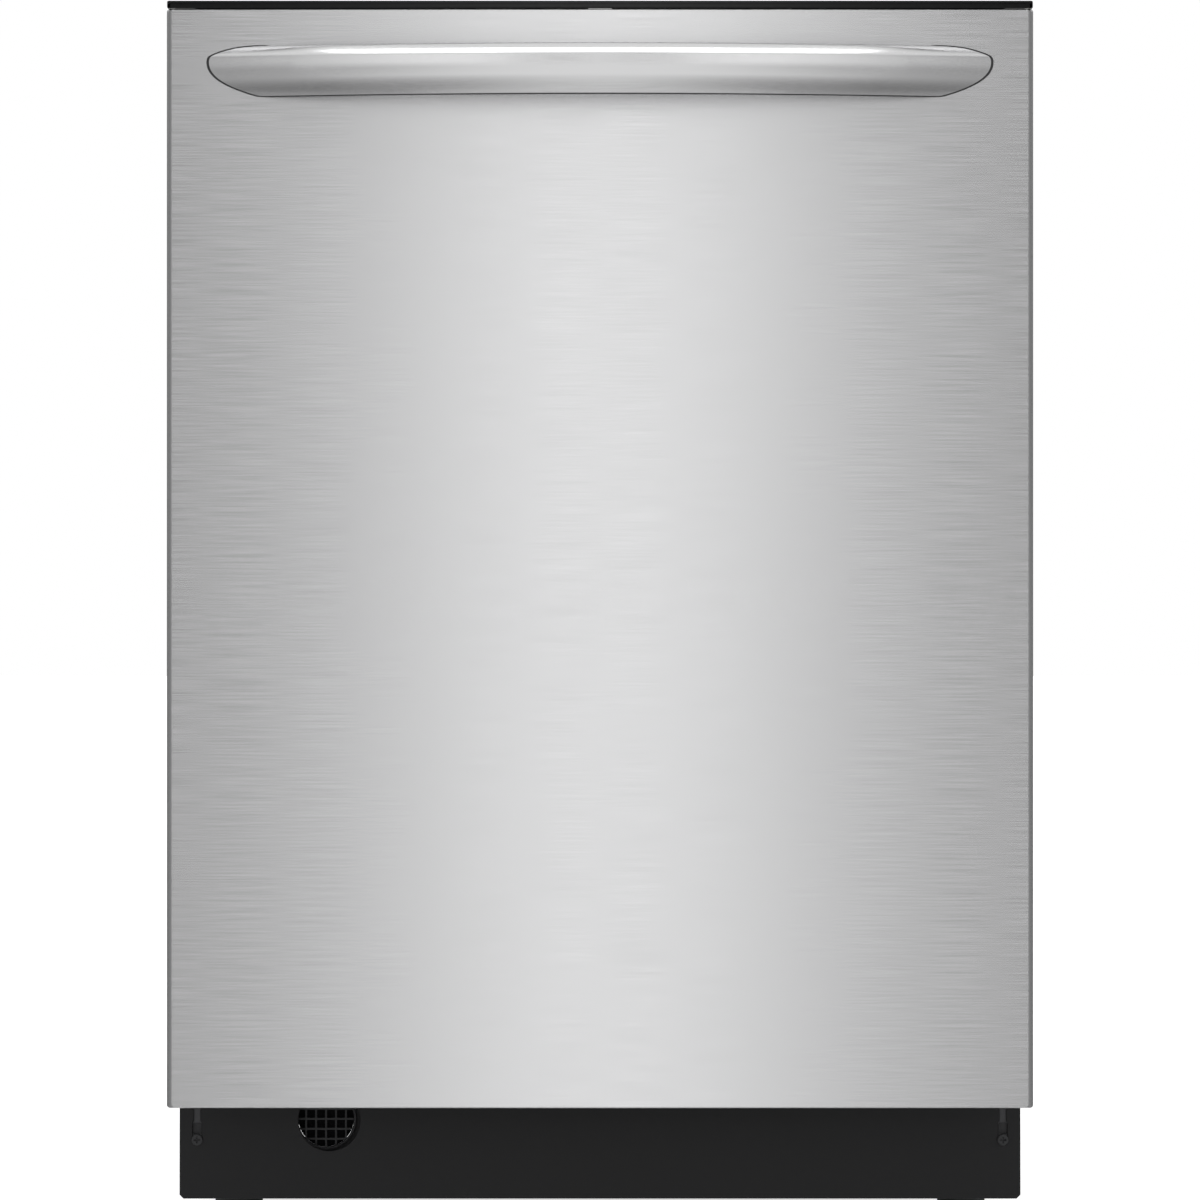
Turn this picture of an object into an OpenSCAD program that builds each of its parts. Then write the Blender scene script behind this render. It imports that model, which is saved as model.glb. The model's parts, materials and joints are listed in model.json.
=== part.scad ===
// Built-in dishwasher, 24 inch class, at the lowest setting of its levelling feet.
// +X is to the user's right, -Y is the front, +Z is up. The origin is the middle of the
// floor area. Depths are counted from the door's front face towards the wall.

/* [Overall] */
// Width of the door
body_w = 606; // [590:1:640]
// Height of the whole machine above the floor
body_h = 850; // [840:1:890]
// Depth from the door's face to the back
body_d = 622; // [610:1:680]
// Reach of the handle in front of the door's face
handle_reach = 50; // [42:1:60]

/* [Door] */
// Height of the door panel's lower edge above the floor
door_low = 75.6; // [70:0.2:84]
// Gap from the panel's top edge to the top of the console
lip_h = 5.6; // [5:0.2:9]
// Thickness of the stainless sheet
sheet_t = 1.2; // [0.8:0.1:1.6]
// Depth of the outer panel's folded sides
panel_d = 24; // [20:1:30]
// Depth from the door's face to the inner liner's face
door_t = 68; // [62:1:70]
// Distance from the door's edge to the inner liner's edge
liner_inset = 9; // [8:0.5:12]
// Depth of the hinge pin behind the door's face
pivot_v = 25; // [22:1:30]
// Height of the hinge pin
pivot_z = 120; // [112:1:126]
// Radius of the hinge pins
hinge_pin_r = 5; // [4:0.5:6]
// Radius of the small bend along the panel's edges
panel_bend = 2.2; // [1:0.2:4]

/* [Handle] */
// Radius of the bowed bar's front
bow_r = 780; // [700:10:900]
// Drop from the top of the machine to the bar's crease
crease_drop = 39.3; // [36:0.1:48]
// Height of the bar from its lower edge to its crease
bar_face = 27.8; // [25:0.1:34]
// Height of the bar from its crease to its top
bar_top = 7.8; // [4:0.5:10]
// Thickness of the bar
bar_t = 16; // [13:0.5:18]

/* [Console] */
// Number of push buttons
button_count = 6; // [6:1:6]
// Length of a button
button_l = 26; // [20:1:34]
// Width of a button
button_w = 11; // [8:1:14]
// Distance between buttons
button_pitch = 48; // [40:1:60]
// Travel of a button
button_travel = 0.9; // [0.5:0.1:1]

/* [Tub] */
// Distance from the door's edge to the tub's inside
tub_inset = 19; // [17:0.5:24]
// Height of the tub's floor
tub_floor_z = 140; // [136:1:144]
// Height of the ledges that the lower rack's wheels roll on
ledge_z = 165.6; // [165:0.1:166]
// Gap from the tub's top to the top of the machine
tub_drop = 20; // [18:1:26]
// Gap between the liner and the tub's front edge, where the gasket sits
gasket_gap = 4; // [3:0.5:6]
// Gap between the tub's back and the back of the machine
back_gap = 20; // [14:1:30]
// Thickness of the insulation blanket
blanket_t = 8; // [6:0.5:9]

/* [Toe kick] */
// Distance that the toe kick stands behind the door's face
kick_back = 90; // [84:1:100]
// Distance from the door's edge to the toe kick's edge
kick_inset = 4.5; // [0:0.5:6]
// Height of the toe kick's lower edge above the floor
kick_low = 6; // [1:0.5:9]
// Height of the toe kick's upper edge above the floor
kick_high = 94; // [92:1:98]
// Place of the vent hole from the middle
vent_x = -192.2; // [-220:1:-150]
// Height of the vent hole
vent_z = 61.9; // [50:0.1:66]
// Radius of the vent hole
vent_r = 22; // [18:0.1:26]
// Distance from the toe kick's edge to each of its screws
screw_inset = 12.5; // [10:0.2:18]
// Height of the toe kick screws
screw_z = 47.8; // [38:0.1:52]
// Travel that the toe kick's slots allow
kick_travel = 25; // [15:1:30]

/* [Feet] */
// Height of the base frame's underside
base_z = 34; // [30:1:40]
// Radius of a foot's threaded leg
leg_r = 5; // [4:0.5:6]
// Radius of a foot's pad
pad_r = 17; // [13:1:20]

/* [Racks] */
// Gap beside the racks, for the wheels and runners
rack_side = 24; // [22:0.5:30]
// Gap behind the racks
rack_back = 14; // [13.5:0.5:30]
// Thickness of the racks' wires
wire_t = 4; // [3:0.5:5]
// Distance between wires
wire_pitch = 33; // [28:1:45]
// Height of the lower rack's floor
low_rack_z = 200; // [198:1:206]
// Height of the lower rack's sides
low_rack_h = 150; // [120:5:160]
// Height of the upper rack's floor
up_rack_z = 510; // [500:5:530]
// Height of the upper rack's sides
up_rack_h = 130; // [100:5:140]
// Gap between the liner and the racks' front
rack_gap = 50; // [44:1:60]
// Radius of the lower rack's wheels
wheel_r = 17.5; // [15:0.5:18]

/* [Spray arms] */
// Length of a spray arm from tip to tip
arm_l = 440; // [380:10:460]
// Width of a spray arm at its middle
arm_w = 60; // [50:1:70]
// Thickness of a spray arm
arm_t = 12; // [10:1:14]

/* [Hidden] */
$fn = 48;

eps = 0.1;            // overshoot of a cut past the face it opens
gap = 0.3;            // gap between pieces that move past each other
run_fit = 0.05;       // clearance around a shaft in its bore
leaf_t = 3;           // thickness of hinge plates and lugs

// Places that several pieces share
front_y = (handle_reach - body_d) / 2;
panel_top = body_h - lip_h;
liner_w = body_w - 2 * liner_inset;
tub_w = body_w - 2 * tub_inset;
kick_w = body_w - 2 * kick_inset;
screw_x = kick_w / 2 - screw_inset;
crease_z = body_h - crease_drop;
rack_w = tub_w - 2 * rack_side;
liner_low = pivot_z + 12;
liner_high = panel_top - 3.4;
tub_top = body_h - tub_drop;
tub_front = door_t + gasket_gap;
tub_back_v = body_d - back_gap;
wall_x = tub_w / 2;
rim_x = liner_w / 2 + 2;
rim_w = 10;
sill_z = tub_floor_z + 10;
wash_v = (tub_front + tub_back_v) / 2;
side_rail_x = wall_x - 4;
base_front = kick_back + 16;
deck_z = tub_floor_z - sheet_t;

// Every piece is drawn with its depth counted from the door's face
module placed() { translate([0, front_y, 0]) children(); }

// A box between two corners
module span(low, high) { translate(low) cube(high - low); }

// The same piece on the left and the right
module both_sides() {
    children();
    mirror([1, 0, 0]) children();
}

// Cylinders along the depth, the width and the height
module rod_y(x, z, v0, v1, r) { translate([x, v0, z]) rotate([-90, 0, 0]) cylinder(h = v1 - v0, r = r); }
module rod_x(v, z, x0, x1, r) { translate([x0, v, z]) rotate([0, 90, 0]) cylinder(h = x1 - x0, r = r); }
module rod_z(x, v, z0, z1, r) { translate([x, v, z0]) cylinder(h = z1 - z0, r = r); }

// ---- Cabinet ----

foot_x = side_rail_x - 22;
foot_front_v = base_front + 26;
foot_rear_v = tub_back_v - 34;
floor_plate_w = 44;
frame_t = 2;
frame_lip = 14;

module base_frame() {
    color("dimgray") placed() difference() {
        union() {
            both_sides() {
                span([side_rail_x - frame_t, base_front, base_z], [side_rail_x, body_d, deck_z]);
                span([side_rail_x - floor_plate_w, base_front, base_z],
                    [side_rail_x, body_d, base_z + frame_t]);
            }
            for (v = [base_front + frame_t, body_d])
                span([-side_rail_x, v - frame_t, base_z], [side_rail_x, v, base_z + frame_lip]);
            both_sides() rod_x(spring_v + spring_l + tail_pin_r, spring_z,
                spring_x - spring_r, side_rail_x - 1, tail_pin_r);
        }
        both_sides() for (v = [foot_front_v, foot_rear_v])
            rod_z(foot_x, v, base_z - eps, base_z + frame_t + eps, leg_r + run_fit);
    }
}

module tub_wrapper() {
    color("silver") placed() {
        difference() {
            span([-wall_x - sheet_t, tub_front, deck_z], [wall_x + sheet_t, tub_back_v, tub_top]);
            span([-wall_x, tub_front - eps, deck_z - eps],
                [wall_x, tub_back_v + eps, tub_top - sheet_t]);
        }
        difference() {
            span([-rim_x, tub_front, deck_z], [rim_x, tub_front + sheet_t, tub_top + rim_w]);
            span([-wall_x - sheet_t / 2, tub_front - eps, deck_z - eps],
                [wall_x + sheet_t / 2, tub_front + sheet_t + eps, tub_top - sheet_t / 2]);
        }
    }
}

module tub_back() {
    color("silver") placed()
        span([-wall_x, tub_back_v - sheet_t, tub_floor_z], [wall_x, tub_back_v, tub_top - sheet_t]);
}

sump_r = 104;
sump_low = 88;
ledge_w = 30;
float_x = -150;
float_v = tub_front + 60;
float_stem_r = 4;
loop_r = 150;
loop_leg_x = 28;
heater_r = 4;
heater_leg_v = wash_v + sqrt(loop_r * loop_r - loop_leg_x * loop_leg_x);

module tub_floor() {
    color("silver") placed() difference() {
        union() {
            span([-wall_x, tub_front + sheet_t, deck_z], [wall_x, tub_back_v - sheet_t, tub_floor_z]);
            span([-wall_x, tub_front, deck_z], [wall_x, tub_front + sheet_t, sill_z]);
            both_sides() {
                span([wall_x - ledge_w, tub_front + sheet_t + 4, deck_z],
                    [wall_x - ledge_w + sheet_t, tub_back_v - sheet_t, ledge_z]);
                span([wall_x - ledge_w, tub_front + sheet_t + 4, ledge_z - sheet_t],
                    [wall_x, tub_back_v - sheet_t, ledge_z]);
            }
        }
        rod_z(0, wash_v, deck_z - eps, tub_floor_z + eps, sump_r);
        rod_z(float_x, float_v, deck_z - eps, tub_floor_z + eps, float_stem_r + gap);
        both_sides() rod_z(loop_leg_x, heater_leg_v, deck_z - eps, tub_floor_z + eps, heater_r + gap);
    }
}

module insulation_blanket() {
    inner_x = wall_x + sheet_t;
    color("whitesmoke") placed() difference() {
        span([-inner_x - blanket_t, tub_front + 8, deck_z],
            [inner_x + blanket_t, tub_back_v - 4, tub_top + blanket_t]);
        span([-inner_x, tub_front, deck_z - eps], [inner_x, tub_back_v, tub_top]);
    }
}

access_v = kick_back + 14;
grille_t = 3;
grille_x = vent_x - 2.7;
grille_r = vent_r;
grille_rim = 2.1;
grille_pitch = 7.09;
grille_bar = 1.3;

module access_panel() {
    color([0.05, 0.05, 0.05]) placed() difference() {
        span([-side_rail_x, access_v, kick_low + 6], [side_rail_x, access_v + sheet_t, kick_high]);
        rod_y(grille_x, vent_z, access_v - eps, access_v + sheet_t + eps, grille_r - grille_rim);
    }
}

module vent_grille() {
    inner_r = grille_r - grille_rim;
    color([0.06, 0.06, 0.07]) placed() translate([grille_x, access_v - grille_t, vent_z])
        rotate([-90, 0, 0]) {
        difference() {
            cylinder(h = grille_t, r = grille_r);
            translate([0, 0, -eps]) cylinder(h = grille_t + 2 * eps, r = inner_r);
        }
        intersection() {
            cylinder(h = grille_t, r = inner_r + grille_rim / 2);
            union() for (i = [-2:2]) {
                translate([i * grille_pitch - grille_bar / 2, -inner_r, 0])
                    cube([grille_bar, 2 * inner_r, grille_t]);
                translate([-inner_r, i * grille_pitch - grille_bar / 2, 0])
                    cube([2 * inner_r, grille_bar, grille_t]);
            }
        }
    }
}

bracket_v = kick_back + sheet_t + gap;
bracket_t = 2;
bracket_low = screw_z - 7;
bracket_high = kick_high + 6;
bracket_depth = 56;
window_half_w = 3.2;
window_low = screw_z + 4;
window_high = screw_z + 12;
kick_screw_r = 1.9;

module kick_brackets() {
    color("gainsboro") placed() both_sides() difference() {
        union() {
            span([side_rail_x, bracket_v, bracket_low], [screw_x + 8, bracket_v + bracket_t, bracket_high]);
            span([side_rail_x, bracket_v, bracket_low],
                [side_rail_x + bracket_t, kick_back + bracket_depth, bracket_high]);
        }
        rod_y(screw_x, screw_z, bracket_v - eps, bracket_v + bracket_t + eps, kick_screw_r + run_fit * 2);
        span([screw_x - window_half_w, bracket_v - eps, window_low],
            [screw_x + window_half_w, bracket_v + bracket_t + eps, window_high]);
    }
}

// A screw with a round head and a cross recess: its arms are narrow shares of the head
module cross_head(x, z, v, r, head_h, shank_r, shank_l) {
    arm = r * 1.2;
    width = r * 0.24;
    difference() {
        union() {
            rod_y(x, z, v - head_h, v, r);
            rod_y(x, z, v - eps, v + shank_l, shank_r);
        }
        for (a = [0, 90])
            translate([x, v - head_h, z]) rotate([0, a, 0])
                translate([-arm / 2, -eps, -width / 2]) cube([arm, head_h * 0.6, width]);
    }
}

kick_head_r = 4;
kick_head_h = 2.2;
kick_screw_l = 9;

module toe_kick_screws() {
    color("black") placed() both_sides()
        cross_head(screw_x, screw_z, kick_back - gap, kick_head_r, kick_head_h, kick_screw_r, kick_screw_l);
}

slot_w = 6.5;
slot_neck_w = 4.6;
slot_step = 13;
kick_fold = 8;
kick_corner = 2;

module toe_kick() {
    half = kick_w / 2;
    color([0.13, 0.13, 0.14]) placed() difference() {
        union() {
            span([-half, kick_back, kick_low], [half, kick_back + sheet_t, kick_high]);
            both_sides() span([half - sheet_t, kick_back, kick_low], [half, kick_back + kick_fold, kick_high]);
        }
        rod_y(vent_x, vent_z, kick_back - eps, kick_back + sheet_t + eps, vent_r);
        both_sides() {
            span([screw_x - slot_w / 2, kick_back - eps, screw_z - slot_w / 2],
                [screw_x + slot_w / 2, kick_back + sheet_t + eps, screw_z + slot_step]);
            span([screw_x - slot_neck_w / 2, kick_back - eps, screw_z],
                [screw_x + slot_neck_w / 2, kick_back + sheet_t + eps, screw_z + kick_travel + slot_step]);
            translate([half, kick_back - eps, kick_low]) rotate([0, 45, 0])
                translate([-kick_corner, 0, -kick_corner])
                    cube([2 * kick_corner, sheet_t + 2 * eps, 2 * kick_corner]);
        }
    }
}

clip_x = 200;
clip_half_w = 20;
clip_t = 1.5;
clip_depth = 34;
clip_hole_r = 2.4;

module countertop_brackets() {
    clip_top = tub_top + rim_w + 2;
    color("gainsboro") placed() both_sides() difference() {
        union() {
            span([clip_x - clip_half_w, tub_front + sheet_t, tub_top + 1],
                [clip_x + clip_half_w, tub_front + sheet_t + clip_t, clip_top]);
            span([clip_x - clip_half_w, tub_front + sheet_t, clip_top - clip_t],
                [clip_x + clip_half_w, tub_front + clip_depth, clip_top]);
        }
        rod_z(clip_x, tub_front + clip_half_w, clip_top - clip_t - eps, clip_top + eps, clip_hole_r);
    }
}

gasket_w = 8;

module tub_gasket() {
    inner_x = liner_w / 2 - gasket_w - 1;
    color([0.12, 0.12, 0.12]) placed() difference() {
        span([-inner_x - gasket_w, door_t + gap, sill_z],
            [inner_x + gasket_w, tub_front, tub_top + gasket_w + 0.5]);
        span([-inner_x, door_t, sill_z - eps], [inner_x, tub_front + eps, tub_top + 0.5]);
    }
}

// ---- Wash system ----

filter_r = 38;
filter_x = 58;
post_r = 14;
post_pin_r = 8;
arm_low = ledge_z + 7;
pump_x = 120;
pump_z = 92;
port_r = 12;
port_z = pump_z + port_r;
port_end = pump_x + 20;
sump_t = 3;
sump_flange = 12;

module sump() {
    color([0.2, 0.2, 0.22]) placed() difference() {
        union() {
            rod_z(0, wash_v, sump_low, deck_z, sump_r + 2);
            rod_z(0, wash_v, deck_z - sump_t - 1, deck_z, sump_r + sump_flange);
            rod_x(wash_v, port_z, 0, port_end, port_r + 2);
        }
        rod_z(0, wash_v, sump_low + sump_t, deck_z + eps, sump_r - 1);
        rod_x(wash_v, port_z, 0, port_end + eps, port_r);
    }
}

sieve_rings = [56, 72, 88];
sieve_count = 24;
sieve_r = 2.6;
cup_t = 2;
grip_half = 3;
grip_h = 14;

module filter_plate() {
    color("silver") placed() difference() {
        rod_z(0, wash_v, deck_z, tub_floor_z + 0.8, sump_r - gap);
        rod_z(filter_x, wash_v, deck_z - eps, tub_floor_z + 1, filter_r + gap);
        for (i = [0:sieve_count - 1], r = sieve_rings) {
            a = i * 360 / sieve_count;
            if (norm([r * cos(a) - filter_x, r * sin(a)]) > filter_r + 2 * sieve_r)
                rod_z(r * cos(a), wash_v + r * sin(a), deck_z - eps, tub_floor_z + 1, sieve_r);
        }
    }
}

module filter_cup() {
    color("gray") placed() {
        difference() {
            rod_z(filter_x, wash_v, sump_low + 8, tub_floor_z + grip_half, filter_r);
            rod_z(filter_x, wash_v, sump_low + 8 + cup_t, tub_floor_z + grip_half + eps, filter_r - cup_t);
        }
        span([filter_x - filter_r + 1, wash_v - grip_half, tub_floor_z - 2 * grip_half],
            [filter_x + filter_r - 1, wash_v + grip_half, tub_floor_z + grip_h]);
    }
}

module spray_arm_post() {
    color([0.3, 0.3, 0.32]) placed() {
        rod_z(0, wash_v, tub_floor_z + 0.8, arm_low - gap, post_r);
        rod_z(0, wash_v, arm_low - gap - eps, arm_low + arm_t + gap, post_pin_r);
        rod_z(0, wash_v, arm_low + arm_t + gap, arm_low + arm_t + 5, post_r - 2);
    }
}

arm_tip_r = 14;
arm_step = 2;
jet_count = 5;
jet_r = 1.8;
jet_swing = 4;

// A two-bladed arm that spins on a post, with a row of water jets on top
module spray_arm(v, z) {
    tip_x = arm_l / 2 - arm_tip_r;
    root = arm_w * 0.42;
    difference() {
        union() {
            rod_z(0, v, z, z + arm_t, arm_w / 2);
            for (s = [-1, 1]) {
                translate([0, v, z + arm_step]) linear_extrude(arm_t - 2 * arm_step)
                    polygon([[0, -root], [s * tip_x, -arm_tip_r], [s * tip_x, arm_tip_r], [0, root]]);
                rod_z(s * tip_x, v, z + arm_step, z + arm_t - arm_step, arm_tip_r);
            }
        }
        rod_z(0, v, z - eps, z + arm_t + eps, post_pin_r + run_fit);
        for (s = [-1, 1], i = [1:jet_count])
            rod_z(s * (arm_tip_r + i * (tip_x - arm_tip_r) / jet_count), v + (i % 2 * 2 - 1) * jet_swing,
                z + arm_t - 5, z + arm_t, jet_r);
    }
}

module lower_spray_arm() { color("gray") placed() spray_arm(wash_v, arm_low); }

heater_z = tub_floor_z + 14;
heater_tail = 40;

module heating_element() {
    opening = asin(loop_leg_x / loop_r);
    color("dimgray") placed() {
        translate([0, wash_v, heater_z]) rotate([0, 0, 90 + opening])
            rotate_extrude(angle = 360 - 2 * opening) translate([loop_r, 0]) circle(heater_r);
        both_sides() {
            rod_z(loop_leg_x, heater_leg_v, heater_z - heater_tail, heater_z, heater_r);
            translate([loop_leg_x, heater_leg_v, heater_z]) sphere(heater_r);
        }
    }
}

volute_r = 40;
volute_end = port_end + 26;
motor_r = 33;
motor_end = volute_end + 66;

module wash_pump() {
    color([0.25, 0.25, 0.27]) placed() {
        rod_x(wash_v, pump_z, port_end, volute_end, volute_r);
        rod_x(wash_v, pump_z, volute_end, motor_end, motor_r);
        rod_x(wash_v, pump_z, motor_end, motor_end + 6, port_r);
    }
}

drain_x = -120;
drain_z = 66;
drain_r = 9.5;
drain_v = wash_v + 90;
drain_body_r = 26;
drain_body_l = 60;
drain_spout_l = 40;
drain_bore_r = 7;
drain_pipe_r = 8;

module drain_pump() {
    color([0.2, 0.2, 0.22]) placed() {
        pipe_x = drain_x + 10;
        pipe_v = drain_v - 40;
        pipe_z = sump_low + 12;
        rod_y(drain_x, drain_z, drain_v - drain_body_l, drain_v, drain_body_r);
        difference() {
            rod_y(drain_x, drain_z, drain_v, drain_v + drain_spout_l, drain_r);
            rod_y(drain_x, drain_z, drain_v + 6, drain_v + drain_spout_l + eps, drain_bore_r);
        }
        rod_z(pipe_x, pipe_v, drain_z, pipe_z, drain_pipe_r);
        rod_x(pipe_v, pipe_z, pipe_x, pipe_x + 12, drain_pipe_r);
    }
}

valve_x = -205;
valve_z = 74;
valve_v = base_front + 10;
valve_r = 9;
valve_half = 18;
coil_r = 13;
spigot_end = valve_v + 60;

module water_inlet_valve() {
    color("dimgray") placed() difference() {
        union() {
            span([valve_x - valve_half, valve_v, valve_z - valve_half],
                [valve_x + valve_half, valve_v + 2 * valve_half, valve_z + valve_half]);
            rod_z(valve_x, valve_v + valve_half, valve_z + valve_half - 1, deck_z - gap, coil_r);
            rod_y(valve_x, valve_z, valve_v + 2 * valve_half - 1, spigot_end, valve_r + 3.5);
        }
        rod_y(valve_x, valve_z, valve_v + 2 * valve_half + 2, spigot_end + eps, valve_r);
    }
}

box_x = 215;
box_low = base_z + 2;
box_v = base_front + 2;
box_size = 62;
box_half_w = 32;
knockout_r = 11.1;

module junction_box() {
    color("gainsboro") placed() difference() {
        span([box_x - box_half_w, box_v, box_low],
            [box_x + box_half_w, box_v + box_size, box_low + box_size]);
        span([box_x - box_half_w + sheet_t, box_v + sheet_t, box_low + sheet_t],
            [box_x + box_half_w - sheet_t, box_v + box_size - sheet_t, box_low + box_size - sheet_t]);
        rod_z(box_x, box_v + box_size / 2, box_low - eps, box_low + sheet_t + eps, knockout_r);
    }
}

duct_w = 30;
duct_t = 10;
duct_v = tub_back_v - sheet_t - duct_t - gap;
ceiling_z = tub_top - sheet_t;
head_z = ceiling_z - 20;
head_t = 6;
head_r = 34;
head_neck_r = 12;
head_jet_r = 24;

module feed_tube() {
    half = duct_w / 2;
    foot_z = tub_floor_z + 1;
    color("lightgray") placed() {
        span([-half, duct_v, foot_z], [half, duct_v + duct_t, ceiling_z - gap]);
        span([-half, wash_v - 20, ceiling_z - duct_t - gap], [half, duct_v + eps, ceiling_z - gap]);
        span([-half, wash_v + sump_r - 14, foot_z], [half, duct_v + eps, foot_z + 5]);
    }
}

module top_spray_head() {
    color("lightgray") placed() difference() {
        union() {
            rod_z(0, wash_v, head_z, ceiling_z - duct_t - gap, head_neck_r);
            rod_z(0, wash_v, head_z - head_t, head_z, head_r);
        }
        for (a = [0:60:300])
            rod_z(head_jet_r * cos(a), wash_v + head_jet_r * sin(a), head_z - head_t - eps, head_z - 2, 2);
    }
}

rack_v = door_t + rack_gap;
rack_d = tub_back_v - rack_back - rack_v;
rack_mid_v = rack_v + rack_d / 2;
rail_z = up_rack_z - 9;
rail_h = 23;
rail_t = 2;
rail_x = wall_x - gap;
rail_front = tub_front + 18;
rail_back = tub_back_v - 12;

// Each rail is a channel whose open side faces the rack
module rack_rails() {
    color("silver") placed() both_sides() {
        for (z = [rail_z, rail_z + rail_h - rail_t])
            span([rack_w / 2 + rail_t, rail_front, z], [rail_x, rail_back, z + rail_t]);
        span([rail_x - rail_t, rail_front, rail_z], [rail_x, rail_back, rail_z + rail_h]);
    }
}

hook_z = ceiling_z - 8;
loop_w = 34;
loop_h = 18;
loop_t = 3;
loop_depth = 16;

module latch_strike() {
    loop_v = tub_front + 6;
    color("gainsboro") placed() difference() {
        span([-loop_w / 2, loop_v, ceiling_z - loop_h], [loop_w / 2, loop_v + loop_depth, ceiling_z]);
        span([-loop_w / 2 + loop_t, loop_v - eps, ceiling_z - loop_h + loop_t],
            [loop_w / 2 - loop_t, loop_v + loop_depth + eps, ceiling_z - 2]);
    }
}

// ---- Hinges and feet ----

lug_r = 9;
plate_x = side_rail_x;
arm_x = plate_x - 2;
pin_head_t = 4 - gap;

module hinge_brackets() {
    head_x = arm_x - leaf_t - gap;
    color("gainsboro") placed() both_sides() {
        rod_x(pivot_v, pivot_z, plate_x, plate_x + leaf_t, lug_r);
        span([plate_x, pivot_v, pivot_z - lug_r], [plate_x + leaf_t, base_front + 50, pivot_z + lug_r]);
        rod_x(pivot_v, pivot_z, head_x - 1, plate_x + 1, hinge_pin_r);
        rod_x(pivot_v, pivot_z, head_x - pin_head_t, head_x, hinge_pin_r + 2);
    }
}

spring_x = arm_x - leaf_t - 13;
spring_r = 7;
spring_z = pivot_z - 6;
spring_l = 190;
spring_coils = 24;
coil_depth = 1.6;
tail_v = pivot_v + 25;
tail_pin_r = 3;
spring_v = tail_v + tail_pin_r + 0.5;

module hinge_springs() {
    pitch = spring_l / spring_coils;
    color("darkgray") placed() both_sides()
        translate([spring_x, spring_v, spring_z]) rotate([-90, 0, 0]) rotate_extrude()
            polygon(concat([[0, 0]],
                [for (i = [0:2 * spring_coils]) [spring_r - (i % 2 == 0 ? coil_depth : 0), i * pitch / 2]],
                [[0, spring_l]]));
}

pad_h = 6;
nut_h = 4;
leg_above = 54;

module foot(x, v) {
    color("black") placed() {
        rod_z(x, v, 0, pad_h, pad_r);
        rod_z(x, v, pad_h - eps, pad_h + nut_h, leg_r + 4);
        rod_z(x, v, pad_h, base_z + leg_above, leg_r);
    }
}

module foot_front_left() { foot(-foot_x, foot_front_v); }
module foot_front_right() { foot(foot_x, foot_front_v); }
module foot_rear_left() { foot(-foot_x, foot_rear_v); }
module foot_rear_right() { foot(foot_x, foot_rear_v); }

// ---- Door ----

low_fold = 8;
hem_w = 16;
dispenser_x = 90;
dispenser_low = 470;
dispenser_high = 600;
recess_v = 42;
pad_x = arm_x - leaf_t - 5;

// A shallow pan with its open side to the back
module pan(x, v0, v1, z0, z1, t) {
    difference() {
        span([-x, v0, z0], [x, v1, z1]);
        span([-x + t, v0 + t, z0 + t], [x - t, v1 + eps, z1 - t]);
    }
}

module door_outer_panel() {
    x = body_w / 2;
    color("silver") placed() difference() {
        union() {
            pan(x, 0, panel_d, door_low, panel_top, sheet_t);
            both_sides() span([x - hem_w, panel_d - sheet_t, liner_low],
                [x - sheet_t / 2, panel_d, panel_top - 1]);
        }
        span([-x + sheet_t, low_fold, door_low - eps],
            [x - sheet_t, panel_d + eps, door_low + sheet_t + eps]);
        both_sides() translate([x, 0, 0]) corner_cut(panel_bend, door_low - eps, panel_top + eps);
    }
}

// The waste outside a rounded upright edge whose corner is at the origin
module corner_cut(r, z0, z1) {
    difference() {
        span([-r, -eps, z0], [eps, r, z1]);
        rod_z(-r, r, z0 - eps, z1 + eps, r);
    }
}

module door_insulation() {
    color("dimgray") placed()
        span([-pad_x, sheet_t + gap, liner_low + 12], [pad_x, recess_v - 4, crease_z - bar_face]);
}

hook_v = door_t - 14;
hook_slot_w = 16;
hook_slot_low = hook_z - 10;

module door_inner_liner() {
    x = liner_w / 2;
    color("gainsboro") placed() difference() {
        span([-x, panel_d + gap, liner_low], [x, door_t, liner_high]);
        span([-x + sheet_t, panel_d, liner_low + sheet_t], [x - sheet_t, door_t - sheet_t, liner_high + eps]);
        span([-dispenser_x, recess_v, dispenser_low], [dispenser_x, door_t + eps, dispenser_high]);
        span([-hook_slot_w / 2, door_t - 2 * sheet_t, hook_slot_low],
            [hook_slot_w / 2, door_t + eps, liner_high + eps]);
        both_sides() span([arm_x - leaf_t - gap, panel_d, liner_low - eps],
            [arm_x + gap, pivot_v + lug_r + gap, liner_low + sheet_t + eps]);
    }
}

hinge_arm_h = 150;
tab_low = liner_low + 60;
tab_high = tab_low + 30;
tail_low = spring_z - 5;
tail_high = spring_z + 8;

// Each arm reaches up inside the door, where a tab holds it to the liner's side
module hinge_arms() {
    color("gainsboro") placed() both_sides() {
        difference() {
            union() {
                span([arm_x - leaf_t, pivot_v - lug_r, pivot_z],
                    [arm_x, pivot_v + lug_r, liner_low + hinge_arm_h]);
                rod_x(pivot_v, pivot_z, arm_x - leaf_t, arm_x, lug_r);
                span([arm_x - leaf_t, pivot_v, tail_low], [arm_x, tail_v + 5, tail_high]);
            }
            rod_x(pivot_v, pivot_z, arm_x - leaf_t - eps, arm_x + eps, hinge_pin_r + run_fit);
        }
        rod_x(tail_v, spring_z, spring_x - spring_r, arm_x - leaf_t + 1, tail_pin_r);
        span([arm_x - 1, panel_d + 4, tab_low], [liner_w / 2 - sheet_t, pivot_v + lug_r, tab_high]);
    }
}

// The bar's section, counted inwards from its crease and up from the crease's height
bar_bottom_in = 11.5;
bar_top_in = 7;

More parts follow.
